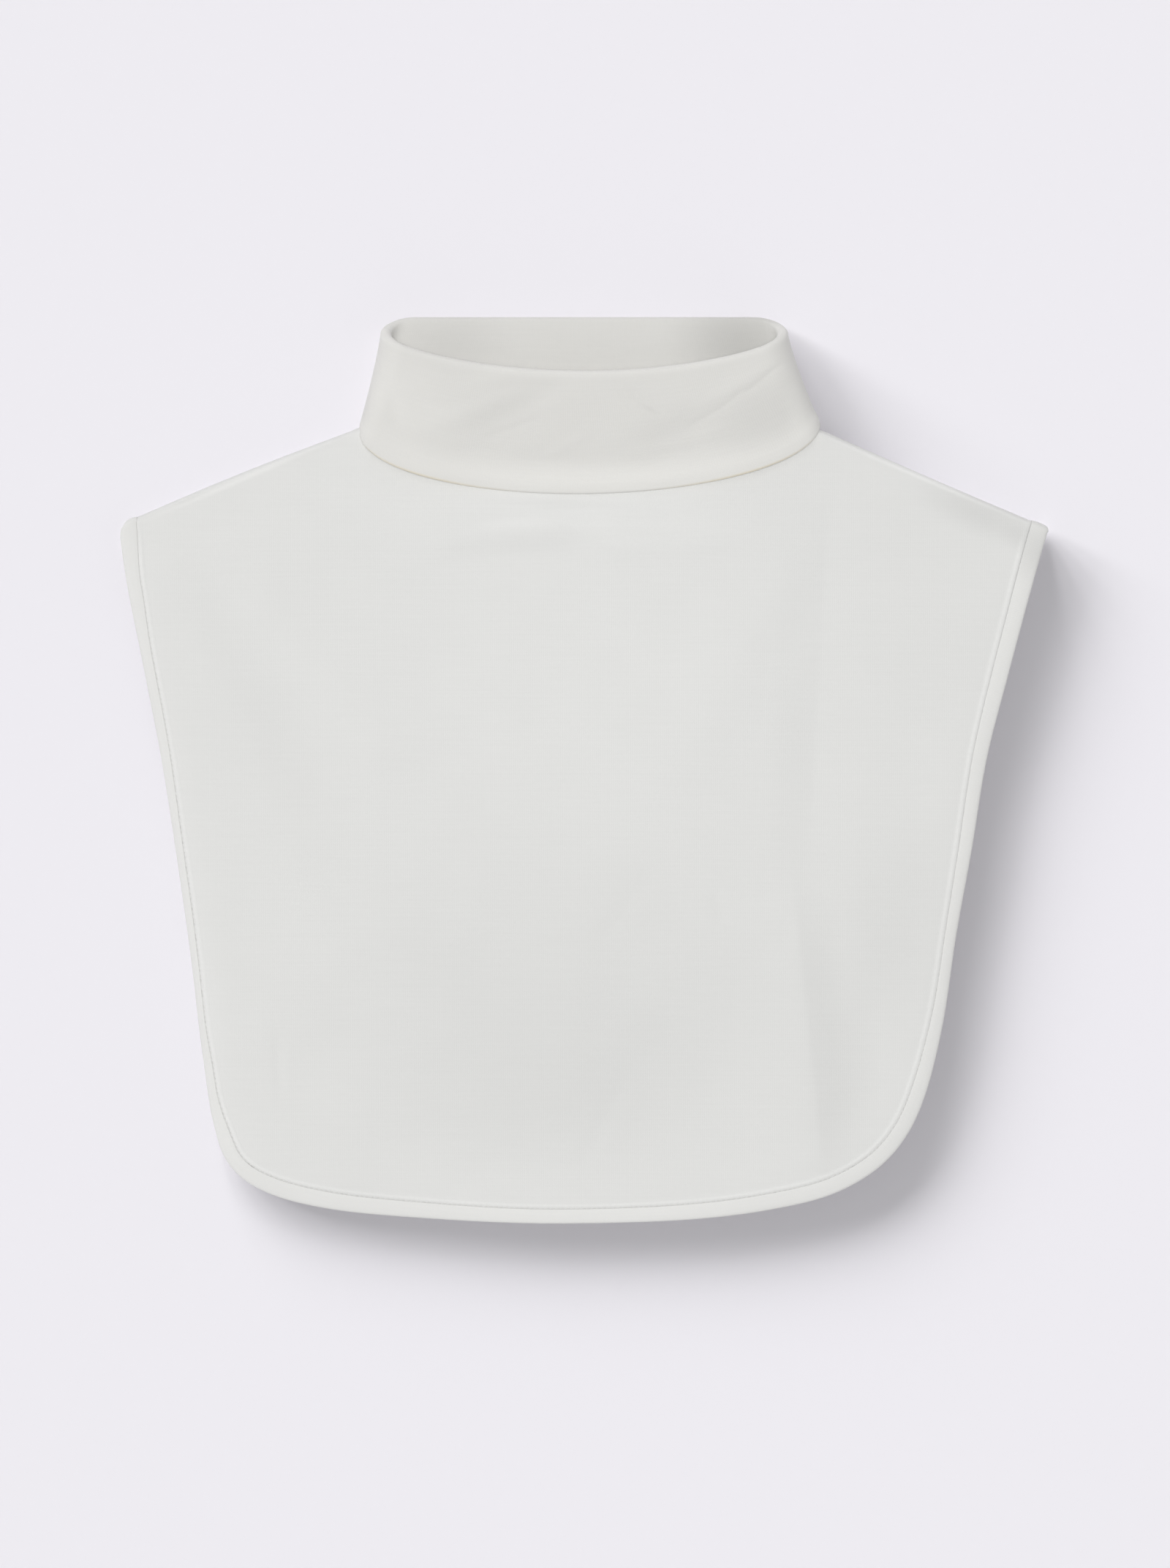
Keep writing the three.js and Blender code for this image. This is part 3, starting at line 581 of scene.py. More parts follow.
# Creases of the front, finer than its folds, in the same columns
FRONT_CREASES = [
    (-0.66, 0.7, -0.655, 0.78, 0.012, -0.07),
    (0.04, 0.58, 0.14, 0.5, 0.02, -0.06),
    (0.0, 0.86, 0.09, 0.76, 0.02, -0.06),
    (0.28, 0.52, 0.3, 0.56, 0.015, -0.06),
    (-0.24, 0.055, 0.22, 0.06, 0.022, -0.16),
    (-0.2, 0.08, 0.28, 0.085, 0.024, 0.16),
    (-0.16, 0.11, 0.2, 0.115, 0.026, -0.1),
]

# The seam beside the binding: a ridge on the panel, pinched at each stitch and low at the neckline
RIDGE_HEIGHT = 0.0005
RIDGE_AT = 0.0013
RIDGE_WIDTH = 0.0006
RIDGE_PINCH = 0.15
RIDGE_AT_NECK = 0.3
STITCH_PITCH = 0.0022
# Distances from the neckline and from the bound edge over which relief comes in
TOP_FREE = 0.02
CREASE_START = 0.002
CREASE_FULL = 0.01
RIPPLE_FREE = 0.02
# How far the panel runs into the binding, and how the ends of that strip lean round a hem corner
TUCK = 0.0012
CORNER_LEAN = 0.6
# The panel rolls down to meet a sloping binding: the roll's reach, its share of that slope, and
# how far from a tip it comes in
ROLL_REACH = 0.004
ROLL_SHARE = 0.8
TIP_FREE = 0.03
# The bends at the neckline's corners are spread over CORNER_REACH of these even places across, and
# eased out over this length below them
EVEN_PLACES = 401
CORNER_REACH = 60
CORNER_EASE = 0.05
# Places across the neckline's front and back, at its corners, and along an edge that is only probed
NECK_COLUMNS = {True: 90, False: 60}
NECK_CORNER_STEPS = 8
PROBE_PLACES = 400
# Spacing of the places along a seam that distances are measured to
SEAM_STEP = 0.0004


def panel_relief(p):
    """Height that folds and pleats add to the front panel, and what finer creases add."""
    x = p[..., 0] / TIP_X
    down = (NECK_Y - FRONT_NECK_DIP - p[..., 1]) / FRONT_LENGTH
    # Both directions in shares of half the shoulder width, so that a fold is as wide at any angle
    tall = FRONT_LENGTH / TIP_X
    folds, pleats, creases = (
        [(r[0], r[1] * tall, r[2], r[3] * tall, r[4], r[5]) for r in rows]
        for rows in (FRONT_FOLDS, FRONT_PLEATS, FRONT_CREASES))
    relief = fold_relief(folds, x, down * tall, FOLD_DEPTH * FOLD_SHOW)
    relief += fold_relief(pleats, x, down * tall, FOLD_DEPTH, pleat)
    return relief, fold_relief(creases, x, down * tall, FOLD_DEPTH * CREASE_SHOW)


def seam_distance(p, seam):
    """Each point's distance in plan to a seam, and how far along it the nearest place is."""
    run = running_length(seam)
    dense = np.linspace(0, run[-1], int(run[-1] / SEAM_STEP))
    line = along_line(seam, run, dense)
    tree = KDTree(len(line))
    for i, q in enumerate(line):
        tree.insert((q[0], q[1], 0), i)
    tree.balance()
    _, nearest, distance = zip(*(tree.find((q[0], q[1], 0)) for q in p.reshape(-1, 3)))
    return np.reshape(distance, p.shape[:-1]), np.reshape(dense[list(nearest)], p.shape[:-1])


def ripple(p, size, seed):
    """A smooth undulation between about -1 and 1, the same each run."""
    flat = p.reshape(-1, 3)
    values = [noise.noise(Vector((q[0] / size, q[1] / size, seed))) for q in flat]
    return np.array(values).reshape(p.shape[:-1]) * 2


def wall_object(name, sheet, wall):
    """A closed wall round a grid of points, thickened evenly to both sides."""
    across = np.gradient(sheet, axis=0)
    down = np.gradient(sheet, axis=1)
    offset = unit(np.cross(down, across)) * wall / 2
    index = np.arange(sheet[..., 0].size).reshape(sheet.shape[:2])
    corners = (index[:-1, :-1], index[:-1, 1:], index[1:, 1:], index[1:, :-1])
    top = np.stack([corner.ravel() for corner in corners], axis=1)
    under = index.size
    bottom = top[:, ::-1] + under
    rim = np.concatenate([index[:, 0], index[-1, 1:], index[-2::-1, -1], index[0, -2:0:-1]])
    following = np.roll(rim, -1)
    border = np.stack([rim, following, following + under, rim + under], axis=1)
    faces = np.concatenate([top, bottom, border])
    return cloth_object(name, np.stack([sheet + offset, sheet - offset]), faces)


def roll_depth(rim, seam):
    """How far a panel rolls down to meet its binding at each place of the seam, none at the tips."""
    run = running_length(seam)
    slope = (seam[:, 2] - rim[:, 2]) / np.linalg.norm((seam - rim)[:, :2], axis=1)
    from_tip = np.minimum(run, run[-1] - run)
    return ROLL_REACH * ROLL_SHARE * slope * smooth(from_tip, TIP_FREE / 3, TIP_FREE)


def panel_sheet(front):
    """The middle surface of a panel: a patch between the shoulders, the neckline and the bound edge,
    with a strip that runs on into the binding."""
    neck = neck_points(stations(front, NECK_COLUMNS[front], NECK_CORNER_STEPS))
    if not front:
        neck = neck[::-1]
    face = NECK_FACE[front]
    seam_line = bound_edge(front, PROBE_PLACES, PROBE_PLACES)[1]
    tip_share = (abs(seam_line[0, 0]) - NECK_X) / (TIP_X - NECK_X)

    def shoulder(sign):
        length = math.hypot(TIP_X - NECK_X, TIP_Y - NECK_Y) * tip_share
        shares = tip_share * (1 - refined(length, True, False)[1:-1])
        x = sign * lerp(NECK_X, TIP_X, shares)
        z = lerp(NECK_MID_Z, TIP_MID_Z, shares)
        seam = np.stack([x, shoulder_y(sign, shares), z], axis=1)
        return seam, lerp(face, TIP_FACE[front], shares), lerp(NECK_CURL, TIP_CURL, shares)

    middle = (neck, np.full(len(neck), face), np.full(len(neck), NECK_CURL))
    stretches = zip(shoulder(-1), middle, shoulder(1))
    seam, faces, reach = (np.concatenate([a, b, c[::-1]]) for a, b, c in stretches)
    inner = curl_points(seam, faces, reach)

    rows_v = refined(FRONT_LENGTH if front else BACK_LENGTH, False, True)
    rows = len(rows_v) - 1
    columns = len(seam) + 1
    rim, seam_line = bound_edge(front, rows, columns)
    raised = seam_line + np.array([0, 0, 1]) * roll_depth(rim, seam_line)[:, None]
    left_side = raised[CURL_ROWS:CURL_ROWS + rows + 1]
    right_side = raised[::-1][CURL_ROWS:CURL_ROWS + rows + 1]
    hem = raised[CURL_ROWS + rows:CURL_ROWS + rows + columns + 1]
    # Rows close to the hem crowd there, along the sides too
    left_side = resample(left_side, rows_v)
    right_side = resample(right_side, rows_v)
    top = np.concatenate([seam_line[CURL_ROWS][None], inner[-1], seam_line[-1 - CURL_ROWS][None]])
    u = (top[:, 0] - top[0, 0]) / (top[-1, 0] - top[0, 0])
    hem = resample(hem, 0.5 * u + 0.5 * np.linspace(0, 1, columns + 1))
    v = rows_v[None, :, None]
    u = u[:, None, None]
    ruled = lerp(top[:, None], hem[:, None], v)
    sideways = lerp(left_side[None], right_side[None], u)
    corners = lerp(lerp(top[0], top[-1], u), lerp(hem[0], hem[-1], u), v)
    patch = ruled + sideways - corners
    curl_left = seam_line[:CURL_ROWS][None]
    curl_right = seam_line[::-1][:CURL_ROWS][None]
    curl_inner = np.swapaxes(inner[:-1], 0, 1)
    curl = np.concatenate([curl_left, curl_inner, curl_right])
    return np.concatenate([curl, patch], axis=1), u, v, top, rim, seam_line


def tucked(sheet, rim, seam):
    """The sheet with a strip added along its bound edges, which runs on into the binding."""
    run = running_length(seam)
    outward = unit(rim - seam)

    def beyond(points, lean=0):
        _, along = seam_distance(points, seam)
        return points + TUCK * unit(along_line(outward, run, along) + lean)

    left, right, hem = beyond(sheet[0]), beyond(sheet[-1]), beyond(sheet[:, -1])
    corners = []
    for side, end, near in ((left, 0, 1), (right, -1, -2)):
        corner = sheet[end, -1]
        up, over = unit(sheet[end, -2] - corner), unit(sheet[near, -1] - corner)
        corners.append(beyond(corner[None])[0])
        side[-1] = beyond(corner[None], up * CORNER_LEAN)[0]
        hem[end] = beyond(corner[None], over * CORNER_LEAN)[0]
    body = np.concatenate([left[None], sheet, right[None]])
    hem = np.concatenate([corners[:1], hem, corners[1:]])
    return np.concatenate([body, hem[:, None]], axis=1)


def smoothed(values, reach):
    """Values along a line with their sharp changes of slope spread over a reach of places."""
    kernel = np.hanning(2 * reach + 1)
    padded = np.pad(values, reach, mode="reflect", reflect_type="odd")
    return np.convolve(padded, kernel / kernel.sum(), mode="valid")


# The vertex attribute that marks the seam's ridge, which the material paints lighter: a painted
# highlight
RIDGE_HIGHLIGHT_ATTRIBUTE = "raised"


def make_front():
    sheet, u, v, top, rim, seam = panel_sheet(True)
    patch = sheet[:, CURL_ROWS:]
    across, down = u[..., 0], v[..., 0]
    from_top = down * FRONT_LENGTH
    inside = np.ones(patch.shape[:2])
    for share in (across, 1 - across, down, 1 - down):
        inside = inside * smooth(share, 0, FOLD_MARGIN)
    crown = CHEST_CROWN * np.sin(np.pi * across) * np.sin(np.pi * np.sqrt(down))
    # The neckline's corners bend the top of the patch sharply, which the cloth below eases out
    even = np.linspace(0, 1, EVEN_PLACES)
    level = np.interp(even, across[:, 0], top[:, 2])
    bend = np.interp(across, even, level - smoothed(level, CORNER_REACH))
    patch[..., 2] -= bend * (1 - down) * smooth(from_top, 0, CORNER_EASE)
    distance, along = seam_distance(patch, seam)
    depth = np.interp(along, running_length(seam), roll_depth(rim, seam))
    roll = -depth * np.exp(-distance / ROLL_REACH)
    ridge = RIDGE_HEIGHT * np.exp(-(((distance - RIDGE_AT) / RIDGE_WIDTH) ** 2))
    ridge *= 1 - RIDGE_PINCH + RIDGE_PINCH * np.cos(2 * np.pi * along / STITCH_PITCH)
    waves = ripple(patch, RIPPLE_SIZE, 1) + SMALL_RIPPLE * ripple(patch, RIPPLE_SIZE / 3, 2)
    top_free = smooth(from_top, 0, TOP_FREE)
    folds, creases = panel_relief(patch)
    patch[..., 2] += inside * folds + crown + roll + ridge * lerp(RIDGE_AT_NECK, 1, top_free)
    patch[..., 2] += creases * top_free * smooth(distance, CREASE_START, CREASE_FULL)
    patch[..., 2] += RIPPLE_DEPTH * waves * smooth(distance, 0, RIPPLE_FREE)
    obj = wall_object("front_cloth", tucked(sheet, rim, seam), PANEL_WALL)
    # The ridge's mask, which the material paints lighter as a painted highlight
    # The tucked sheet has one more row at each side and at the hem
    raised = np.zeros((2, sheet.shape[0] + 2, sheet.shape[1] + 1), np.float32)
    raised[0, 1:-1, CURL_ROWS:-1] = ridge / RIDGE_HEIGHT * top_free
    obj.data.attributes.new(RIDGE_HIGHLIGHT_ATTRIBUTE, "FLOAT", "POINT").data.foreach_set("value", raised.ravel())
    return obj


def make_back():
    sheet, _, _, top, rim, seam = panel_sheet(False)
    from_edge, _ = seam_distance(sheet, seam)
    from_top, _ = seam_distance(sheet, top)
    keep = np.maximum(1 - smooth(from_top, 0, BACK_SETTLE), 1 - smooth(from_edge, 0, EDGE_SETTLE))
    open_part = sheet[..., 1] <= NECK_Y - BACK_NECK_DIP - NECK_CURL
    settled = lerp(PANEL_WALL / 2, sheet[..., 2], keep)
    sheet[..., 2] = np.where(open_part, settled, sheet[..., 2])
    return wall_object("back_cloth", tucked(sheet, rim, seam), PANEL_WALL)


# The binding and its stitches

# The band's outer face: distance in from the rim and height as shares of the band's half thickness.
# It swells out of the seam, crowns and rolls over at the rim.
BAND_PROFILE = [
    (1.0, 0.37), (0.985, 0.42), (0.95, 0.47), (0.88, 0.53), (0.74, 0.61), (0.58, 0.65),
    (0.42, 0.65), (0.27, 0.61), (0.15, 0.53), (0.07, 0.4), (0.02, 0.22), (0.0, 0.0),
]
# Places across the band's inner face, and its clearance from the panel
BAND_INNER = (0.2, 0.6, 0.98)
BAND_CLEARANCE = 0.0001
BAND_PLACES = 420
# How much the stitches pucker the band, and where across it
PUCKER = 0.00006
PUCKER_AT = 0.86
PUCKER_WIDTH = 0.12


def edge_frames():
    """Rim and seam all round both panels, with the directions across and out of the band."""
    front, back = (bound_edge(face, BAND_PLACES, BAND_PLACES) for face in (True, False))
    # The tips belong to the front's run alone
    rim, seam = (np.concatenate([a, b[-2:0:-1]]) for a, b in zip(front, back))
    across = unit(seam - rim)
    before, after = np.roll(rim, 1, axis=0), np.roll(rim, -1, axis=0)
    normal = unit(np.cross(after - before, across))
    return rim, seam, across, normal


def make_binding():
    rim, seam, across, normal = edge_frames()
    inwards, height = np.array(BAND_PROFILE).T * [[1], [BINDING_HALF]]
    inner_in = np.array(BAND_INNER)
    inner_up = np.full(len(inner_in), PANEL_WALL / 2 + BAND_CLEARANCE)
    section_in = np.concatenate([inwards, inwards[-2::-1], inner_in[::-1], inner_in])
    section_up = np.concatenate([height, -height[-2::-1], -inner_up, inner_up])
    run = running_length(closed(rim))
    width = np.linalg.norm(seam - rim, axis=1)
    phase = np.cos(2 * np.pi * run[:-1] / STITCH_PITCH)
    near_seam = np.exp(-(((section_in - PUCKER_AT) / PUCKER_WIDTH) ** 2)) * np.sign(section_up)
    pinch = PUCKER * phase[:, None] * near_seam[None]
    sections = (rim[:, None] + across[:, None] * (section_in[None] * width[:, None])[..., None]
                + normal[:, None] * (section_up[None] + pinch)[..., None])
    sections = sections[:, ::-1]
    section = closed(sections[len(sections) // 4])
    return ring_object("binding_cloth", sections, run, running_length(section))


STITCH_LENGTH = 0.0014
STITCH_RADIUS = 0.00016
STITCH_INSET = 0.0003
# Each stitch's sides, and its rings as shares of its length and of its radius
STITCH_SIDES = 6
STITCH_RINGS = ((0, 0.35), (0.12, 0.85), (0.5, 1.0), (0.88, 0.85), (1, 0.35))


def make_stitches():
    """Thread of the seam beside the binding: a short bar for each stitch, half sunk in the groove."""
    _, seam, across, normal = edge_frames()
    run = running_length(closed(seam))
    count = int(run[-1] / STITCH_PITCH)
    where = np.linspace(0, run[-1], count, endpoint=False)
    groove = closed(seam + across * STITCH_INSET + normal * (PANEL_WALL / 2))
    start = along_line(groove, run, where)
    end = along_line(groove, run, (where + STITCH_LENGTH) % run[-1])
    top = unit(along_line(closed(normal), run, where))
    direction = unit(end - start)
    offsets = STITCH_RADIUS * spokes(unit(np.cross(direction, top)), top, STITCH_SIDES)
    rings = []
    for share, size in STITCH_RINGS:
        centre = lerp(start, end, share) + top * STITCH_RADIUS * 0.5 * math.sin(math.pi * share)
        rings.append(centre[:, None] + offsets * size)
    points = np.concatenate(rings, axis=1)
    faces = tube_faces(len(STITCH_RINGS), STITCH_SIDES)
    every = (faces + (np.arange(count) * points.shape[1])[:, None, None]).reshape(-1, 4)
    return cloth_object("binding_stitches", points, every)


BEAD_SIDES = 8
# An open bead's radius at its ends, as a share of its radius
BEAD_END = 0.1
NECK_BEAD = PANEL_WALL * 0.62
SHOULDER_SEAM_PLACES = 80


def seam_bead(name, line, radius, ring):
    """A seam seen as a low rounded bead along a line of points, which nowhere runs along Y."""
    before, after = np.roll(line, 1, axis=0), np.roll(line, -1, axis=0)
    size = np.full((len(line), 1, 1), radius)
    if not ring:
        before[0], after[-1] = line[0], line[-1]
        size[0] = size[-1] = radius * BEAD_END
    direction = unit(after - before)
    side = unit(np.cross(direction, [0.0, 1.0, 0.0]))
    points = line[:, None] + spokes(side, np.cross(side, direction), BEAD_SIDES) * size
    faces = ring_faces(len(line), BEAD_SIDES)[0] if ring else tube_faces(len(line), BEAD_SIDES)
    return cloth_object(name, points, faces)


def make_shoulder_seam(sign, name):
    bound = BINDING_WIDTH / (TIP_X - NECK_X)
    shares = np.linspace(0, 1, SHOULDER_SEAM_PLACES) * (1 - bound)
    x = sign * lerp(NECK_X, TIP_X, shares)
    line = np.stack([x, shoulder_y(sign, shares), lerp(NECK_MID_Z, TIP_MID_Z, shares)], axis=1)
    return seam_bead(name, line, PANEL_WALL / 2, False)


def make_neck_seam():
    front, back = (stations(face, NECK_COLUMNS[face], NECK_CORNER_STEPS) for face in (True, False))
    line = neck_points(np.concatenate([front, back[1:-1]]))
    line[:, 1] += CLEARANCE / 2
    return seam_bead("neck_seam", line, NECK_BEAD, True)


# Materials

class Nodes:
    """Short calls for building a node tree."""

    def __init__(self, tree):
        self.tree = tree

    def add(self, kind, inputs=None, **settings):
        """A node with its settings. inputs gives each named socket a value or an output."""
        node = self.tree.nodes.new(kind)
        for key, value in settings.items():
            setattr(node, key, value)
        for key, value in (inputs or {}).items():
            self.feed(node.inputs[key], value)
        return node

    def feed(self, socket, value):
        if isinstance(value, bpy.types.NodeSocket):
            self.tree.links.new(value, socket)
        else:
            socket.default_value = value

    def math(self, operation, a, b=None):
        node = self.add("ShaderNodeMath", {0: a}, operation=operation)
        if b is not None:
            self.feed(node.inputs[1], b)
        return node.outputs[0]

    def noise(self, vector, scale, detail):
        inputs = {"Vector": vector, "Scale": scale, "Detail": detail}
        return self.add("ShaderNodeTexNoise", inputs).outputs["Fac"]


def new_material(name, roughness, specular):
    """A material with its node builder and its shader's inputs."""
    material = bpy.data.materials.new(name)
    material.use_nodes = True
    shader = material.node_tree.nodes["Principled BSDF"].inputs
    shader["Roughness"].default_value = roughness
    shader["Specular IOR Level"].default_value = specular
    return material, Nodes(material.node_tree), shader


def patches(n, uv, rows):
    """Summed soft elliptical patches on the cloth, each fading from its middle to its edge."""
    total = None
    for x, y, wide, tall, turn, tone in rows:
        ellipse = {"Vector": uv, "Location": (x, y, 0), "Rotation": (0, 0, math.radians(turn)),
                   "Scale": (wide, tall, 1)}
        place = n.add("ShaderNodeMapping", ellipse, vector_type="TEXTURE")
        far = n.add("ShaderNodeVectorMath", {0: place.outputs[0]}, operation="LENGTH")
        ends = {"Value": far.outputs["Value"], "To Min": tone, "To Max": 0}
        fade = n.add("ShaderNodeMapRange", ends, interpolation_type="SMOOTHSTEP").outputs[0]
        total = fade if total is None else n.math("ADD", total, fade)
    return total


# Painted shade and painted light on the front's jersey: darker over the lower chest, along folds and
# at the right tip, light and dark streaks just below the collar, and lighter along the shoulders.
# Middle and half sizes in metres, turn in degrees, and how much lighter
FRONT_PAINTED_SHADING = [
    (-0.004, -0.28, 0.09, 0.05, 0, -0.025),
    (-0.01, -0.245, 0.17, 0.09, 0, -0.034),
    (0.108, -0.275, 0.02, 0.06, -5, -0.05),
    (0.13, -0.215, 0.035, 0.06, -8, -0.035),
    (0.1, -0.235, 0.014, 0.05, 3, -0.035),
    (-0.024, -0.047, 0.05, 0.009, 5, -0.045),
    (-0.012, -0.0305, 0.04, 0.0035, -2, -0.03),
    (-0.005, -0.0245, 0.05, 0.003, 0, 0.02),
    (-0.02, -0.0375, 0.04, 0.004, 6, 0.02),
    (0.0865, -0.14, 0.014, 0.11, 2, -0.012),
    (-0.15, -0.105, 0.03, 0.09, 25, -0.01),
    (0.168, -0.0345, 0.036, 0.012, -22, -0.09),
    (0.187, -0.045, 0.014, 0.009, -15, -0.05),
    (0.144, -0.0195, 0.06, 0.002, -23, 0.12),
    (-0.144, -0.0195, 0.06, 0.002, 23, 0.08),
    (-0.02, -0.03, 0.12, 0.035, 0, 0.04),
    (0.0, -0.1, 0.15, 0.1, 0, 0.025),
]
# Painted shade on the binding at the right tip, and lighter along the middle of the hem, in lengths
# round it from the left tip and round its section
BINDING_PAINTED_SHADE_AND_TONE = [
    (0.84, 0.01, 0.018, 0.08, 0, -0.11),
    (0.42, 0.01, 0.16, 0.06, 0, 0.03),
]
# Painted shade and painted highlights on the collar: darker inside it, darker and lighter along its
# creases, lighter in the corners of its mouth, along the rim's roll and just above the free edge.
# In lengths round its tube from the left end and up its section
COLLAR_PAINTED_SHADING = [
    (0.216, 0.068, 0.036, 0.03, 0, -0.2),
    (0.336, 0.068, 0.03, 0.03, 0, -0.06),
    (0.0, 0.076, 0.02, 0.03, 0, 0.3),
    (0.188, 0.076, 0.016, 0.03, 0, 0.3),
    (0.375, 0.076, 0.02, 0.03, 0, 0.3),
    (0.094, 0.0535, 0.2, 0.0045, 0, 0.07),
    (0.094, 0.007, 0.14, 0.013, 0, 0.1),
    (0.059, 0.035, 0.038, 0.0075, 32, -0.06),
    (0.05, 0.046, 0.034, 0.007, 30, 0.02),
    (0.069, 0.025, 0.034, 0.007, 30, 0.02),
    (0.1265, 0.028, 0.03, 0.011, 18, -0.045),
    (0.12, 0.036, 0.006, 0.0018, -35, -0.04),
    (0.157, 0.043, 0.024, 0.009, 25, 0.015),
    (0.162, 0.024, 0.028, 0.022, 0, -0.068),
    (0.02, 0.03, 0.03, 0.026, 0, 0.045),
]
# Painted shade: a darker, warm line where the gap under the free edge lies in shade
COLLAR_GAP_PAINTED_SHADE = [
    (0.035, 0.0014, 0.045, 0.0016, 0, 1),
    (0.15, 0.0014, 0.045, 0.0016, 0, 1),
]
GAP_PAINTED_SHADE_COLOR = (0.78, 0.72, 0.58)


# Width of a wale of the knit and height of a course: of the jersey, and of the thread's twist
JERSEY_KNIT = (0.0009, 0.0007)
THREAD_TWIST = (0.0003, 0.0002)
# The knit's loops lean to both sides of a wale, and dark grooves part the wales
LOOP_LEAN = 0.7
LOOP_DEPTH = 0.35
GROOVE_POWER = 3
# Slubs run across the cloth, and clouds are even. Both vary the tone, and slubs the height too.
SLUB_SCALE = (45, 900, 1)
SLUB_DETAIL = 3
CLOUD_SCALE = 26
CLOUD_DETAIL = 4
TONE_RANGE = 0.035
# How much lighter the seam's ridge is painted: a painted highlight
RIDGE_PAINTED_HIGHLIGHT = 0.07
KNIT_HEIGHT = 0.5
SLUB_HEIGHT = 0.9
BUMP_STRENGTH = 0.35
BUMP_DISTANCE = 0.00012
JERSEY_ROUGHNESS = 0.92
JERSEY_SPECULAR = 0.2
SHEEN = 0.25
SHEEN_ROUGHNESS = 0.5


def jersey(name, color, knit=JERSEY_KNIT, roughness=JERSEY_ROUGHNESS, painted_shading=(), gap_shade_patches=()):
    """Fine cotton jersey: rows of small V stitches, soft slubs across the cloth and a faint sheen."""
    material, n, shader = new_material(name, roughness, JERSEY_SPECULAR)
    shader["Sheen Weight"].default_value = SHEEN
    shader["Sheen Roughness"].default_value = SHEEN_ROUGHNESS

    wale, course = knit
    uv = n.add("ShaderNodeUVMap", uv_map="cloth").outputs["UV"]
    across, up, _ = n.add("ShaderNodeSeparateXYZ", {0: uv}).outputs
    column = n.math("FRACT", n.math("MULTIPLY", across, 1 / wale))
    leg = n.math("ABSOLUTE", n.math("SUBTRACT", n.math("MULTIPLY", column, 2), 1))
    lean = n.math("MULTIPLY", leg, LOOP_LEAN)
    rise = n.math("ADD", n.math("MULTIPLY", up, 1 / course), lean)
    loop = n.math("MULTIPLY", n.math("SINE", n.math("MULTIPLY", rise, 2 * math.pi)), LOOP_DEPTH)
    stitches = n.math("SUBTRACT", loop, n.math("POWER", leg, GROOVE_POWER))

    stretch = n.add("ShaderNodeMapping", {"Vector": uv, "Scale": SLUB_SCALE}).outputs[0]
    slub = n.noise(stretch, 1, SLUB_DETAIL)
    cloud = n.noise(uv, CLOUD_SCALE, CLOUD_DETAIL)
    tone = n.math("ADD", n.math("MULTIPLY", slub, 0.5), n.math("MULTIPLY", cloud, 0.5))
    ends = {"Factor": tone, "A": (*[c * (1 - TONE_RANGE) for c in color], 1),
            "B": (*[min(1, c * (1 + TONE_RANGE)) for c in color], 1)}
    tinted = n.add("ShaderNodeMix", ends, data_type="RGBA").outputs["Result"]
    # Painted shade and painted highlights: the tables' patches, and the seam's ridge painted lighter
    if painted_shading:
        raised = n.add("ShaderNodeAttribute", attribute_name=RIDGE_HIGHLIGHT_ATTRIBUTE).outputs["Fac"]
        painted_shading_sum = n.math("ADD", patches(n, uv, painted_shading), n.math("MULTIPLY", raised, RIDGE_PAINTED_HIGHLIGHT))
        scale = {0: tinted, "Scale": n.math("ADD", painted_shading_sum, 1)}
        tinted = n.add("ShaderNodeVectorMath", scale, operation="SCALE").outputs[0]
    # Painted shade: the gap under the collar's free edge, darker and warm
    if gap_shade_patches:
        painted_gap_shade = {"A": tinted, "B": (*GAP_PAINTED_SHADE_COLOR, 1), "Factor": patches(n, uv, gap_shade_patches)}
        tinted = n.add("ShaderNodeMix", painted_gap_shade, data_type="RGBA").outputs["Result"]
    n.feed(shader["Base Color"], tinted)

    rows = n.math("MULTIPLY", stitches, KNIT_HEIGHT)
    height = n.math("ADD", rows, n.math("MULTIPLY", slub, SLUB_HEIGHT))
    relief = {"Strength": BUMP_STRENGTH, "Distance": BUMP_DISTANCE, "Height": height}
    n.feed(shader["Normal"], n.add("ShaderNodeBump", relief).outputs[0])
    return material


PANEL_WHITE = (0.743, 0.743, 0.729)
COLLAR_WHITE = (0.712, 0.705, 0.68)
BINDING_WHITE = (0.762, 0.76, 0.743)
THREAD_WHITE = (0.7, 0.7, 0.68)
THREAD_ROUGHNESS = 0.7
FLOOR_COLOR = (0.855, 0.838, 0.88, 1)
FLOOR_ROUGHNESS = 0.9
FLOOR_SPECULAR = 0.1

front_jersey = jersey("front_jersey", PANEL_WHITE, painted_shading=FRONT_PAINTED_SHADING)
panel_jersey = jersey("panel_jersey", PANEL_WHITE)
collar_jersey = jersey("collar_jersey", COLLAR_WHITE, painted_shading=COLLAR_PAINTED_SHADING, gap_shade_patches=COLLAR_GAP_PAINTED_SHADE)
binding_jersey = jersey("binding_jersey", BINDING_WHITE, painted_shading=BINDING_PAINTED_SHADE_AND_TONE)
thread = jersey("sewing_thread", THREAD_WHITE, THREAD_TWIST, THREAD_ROUGHNESS)


def dress(obj, material, slot, *nodes):
    obj.data.materials.append(material)
    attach(obj, "root")
    if nodes:
        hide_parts(*nodes)
    return obj


front = dress(make_front(), front_jersey, "panel_jersey", "front_panel")
back = dress(make_back(), panel_jersey, "panel_jersey", "back_panel")
collar = dress(make_collar(), collar_jersey, "collar_jersey", "collar")
binding = dress(make_binding(), binding_jersey, "binding_jersey", "edge_binding")
stitches = dress(make_stitches(), thread, "binding_jersey")
seams = [
    dress(make_shoulder_seam(-1, "left_shoulder_seam"), panel_jersey, "panel_jersey"),
    dress(make_shoulder_seam(1, "right_shoulder_seam"), panel_jersey, "panel_jersey"),
    dress(make_neck_seam(), collar_jersey, "collar_jersey"),
]


# The surface, the light and the camera

FLOOR_SIZE = 16
FLOOR_DEPTH = 0.0001


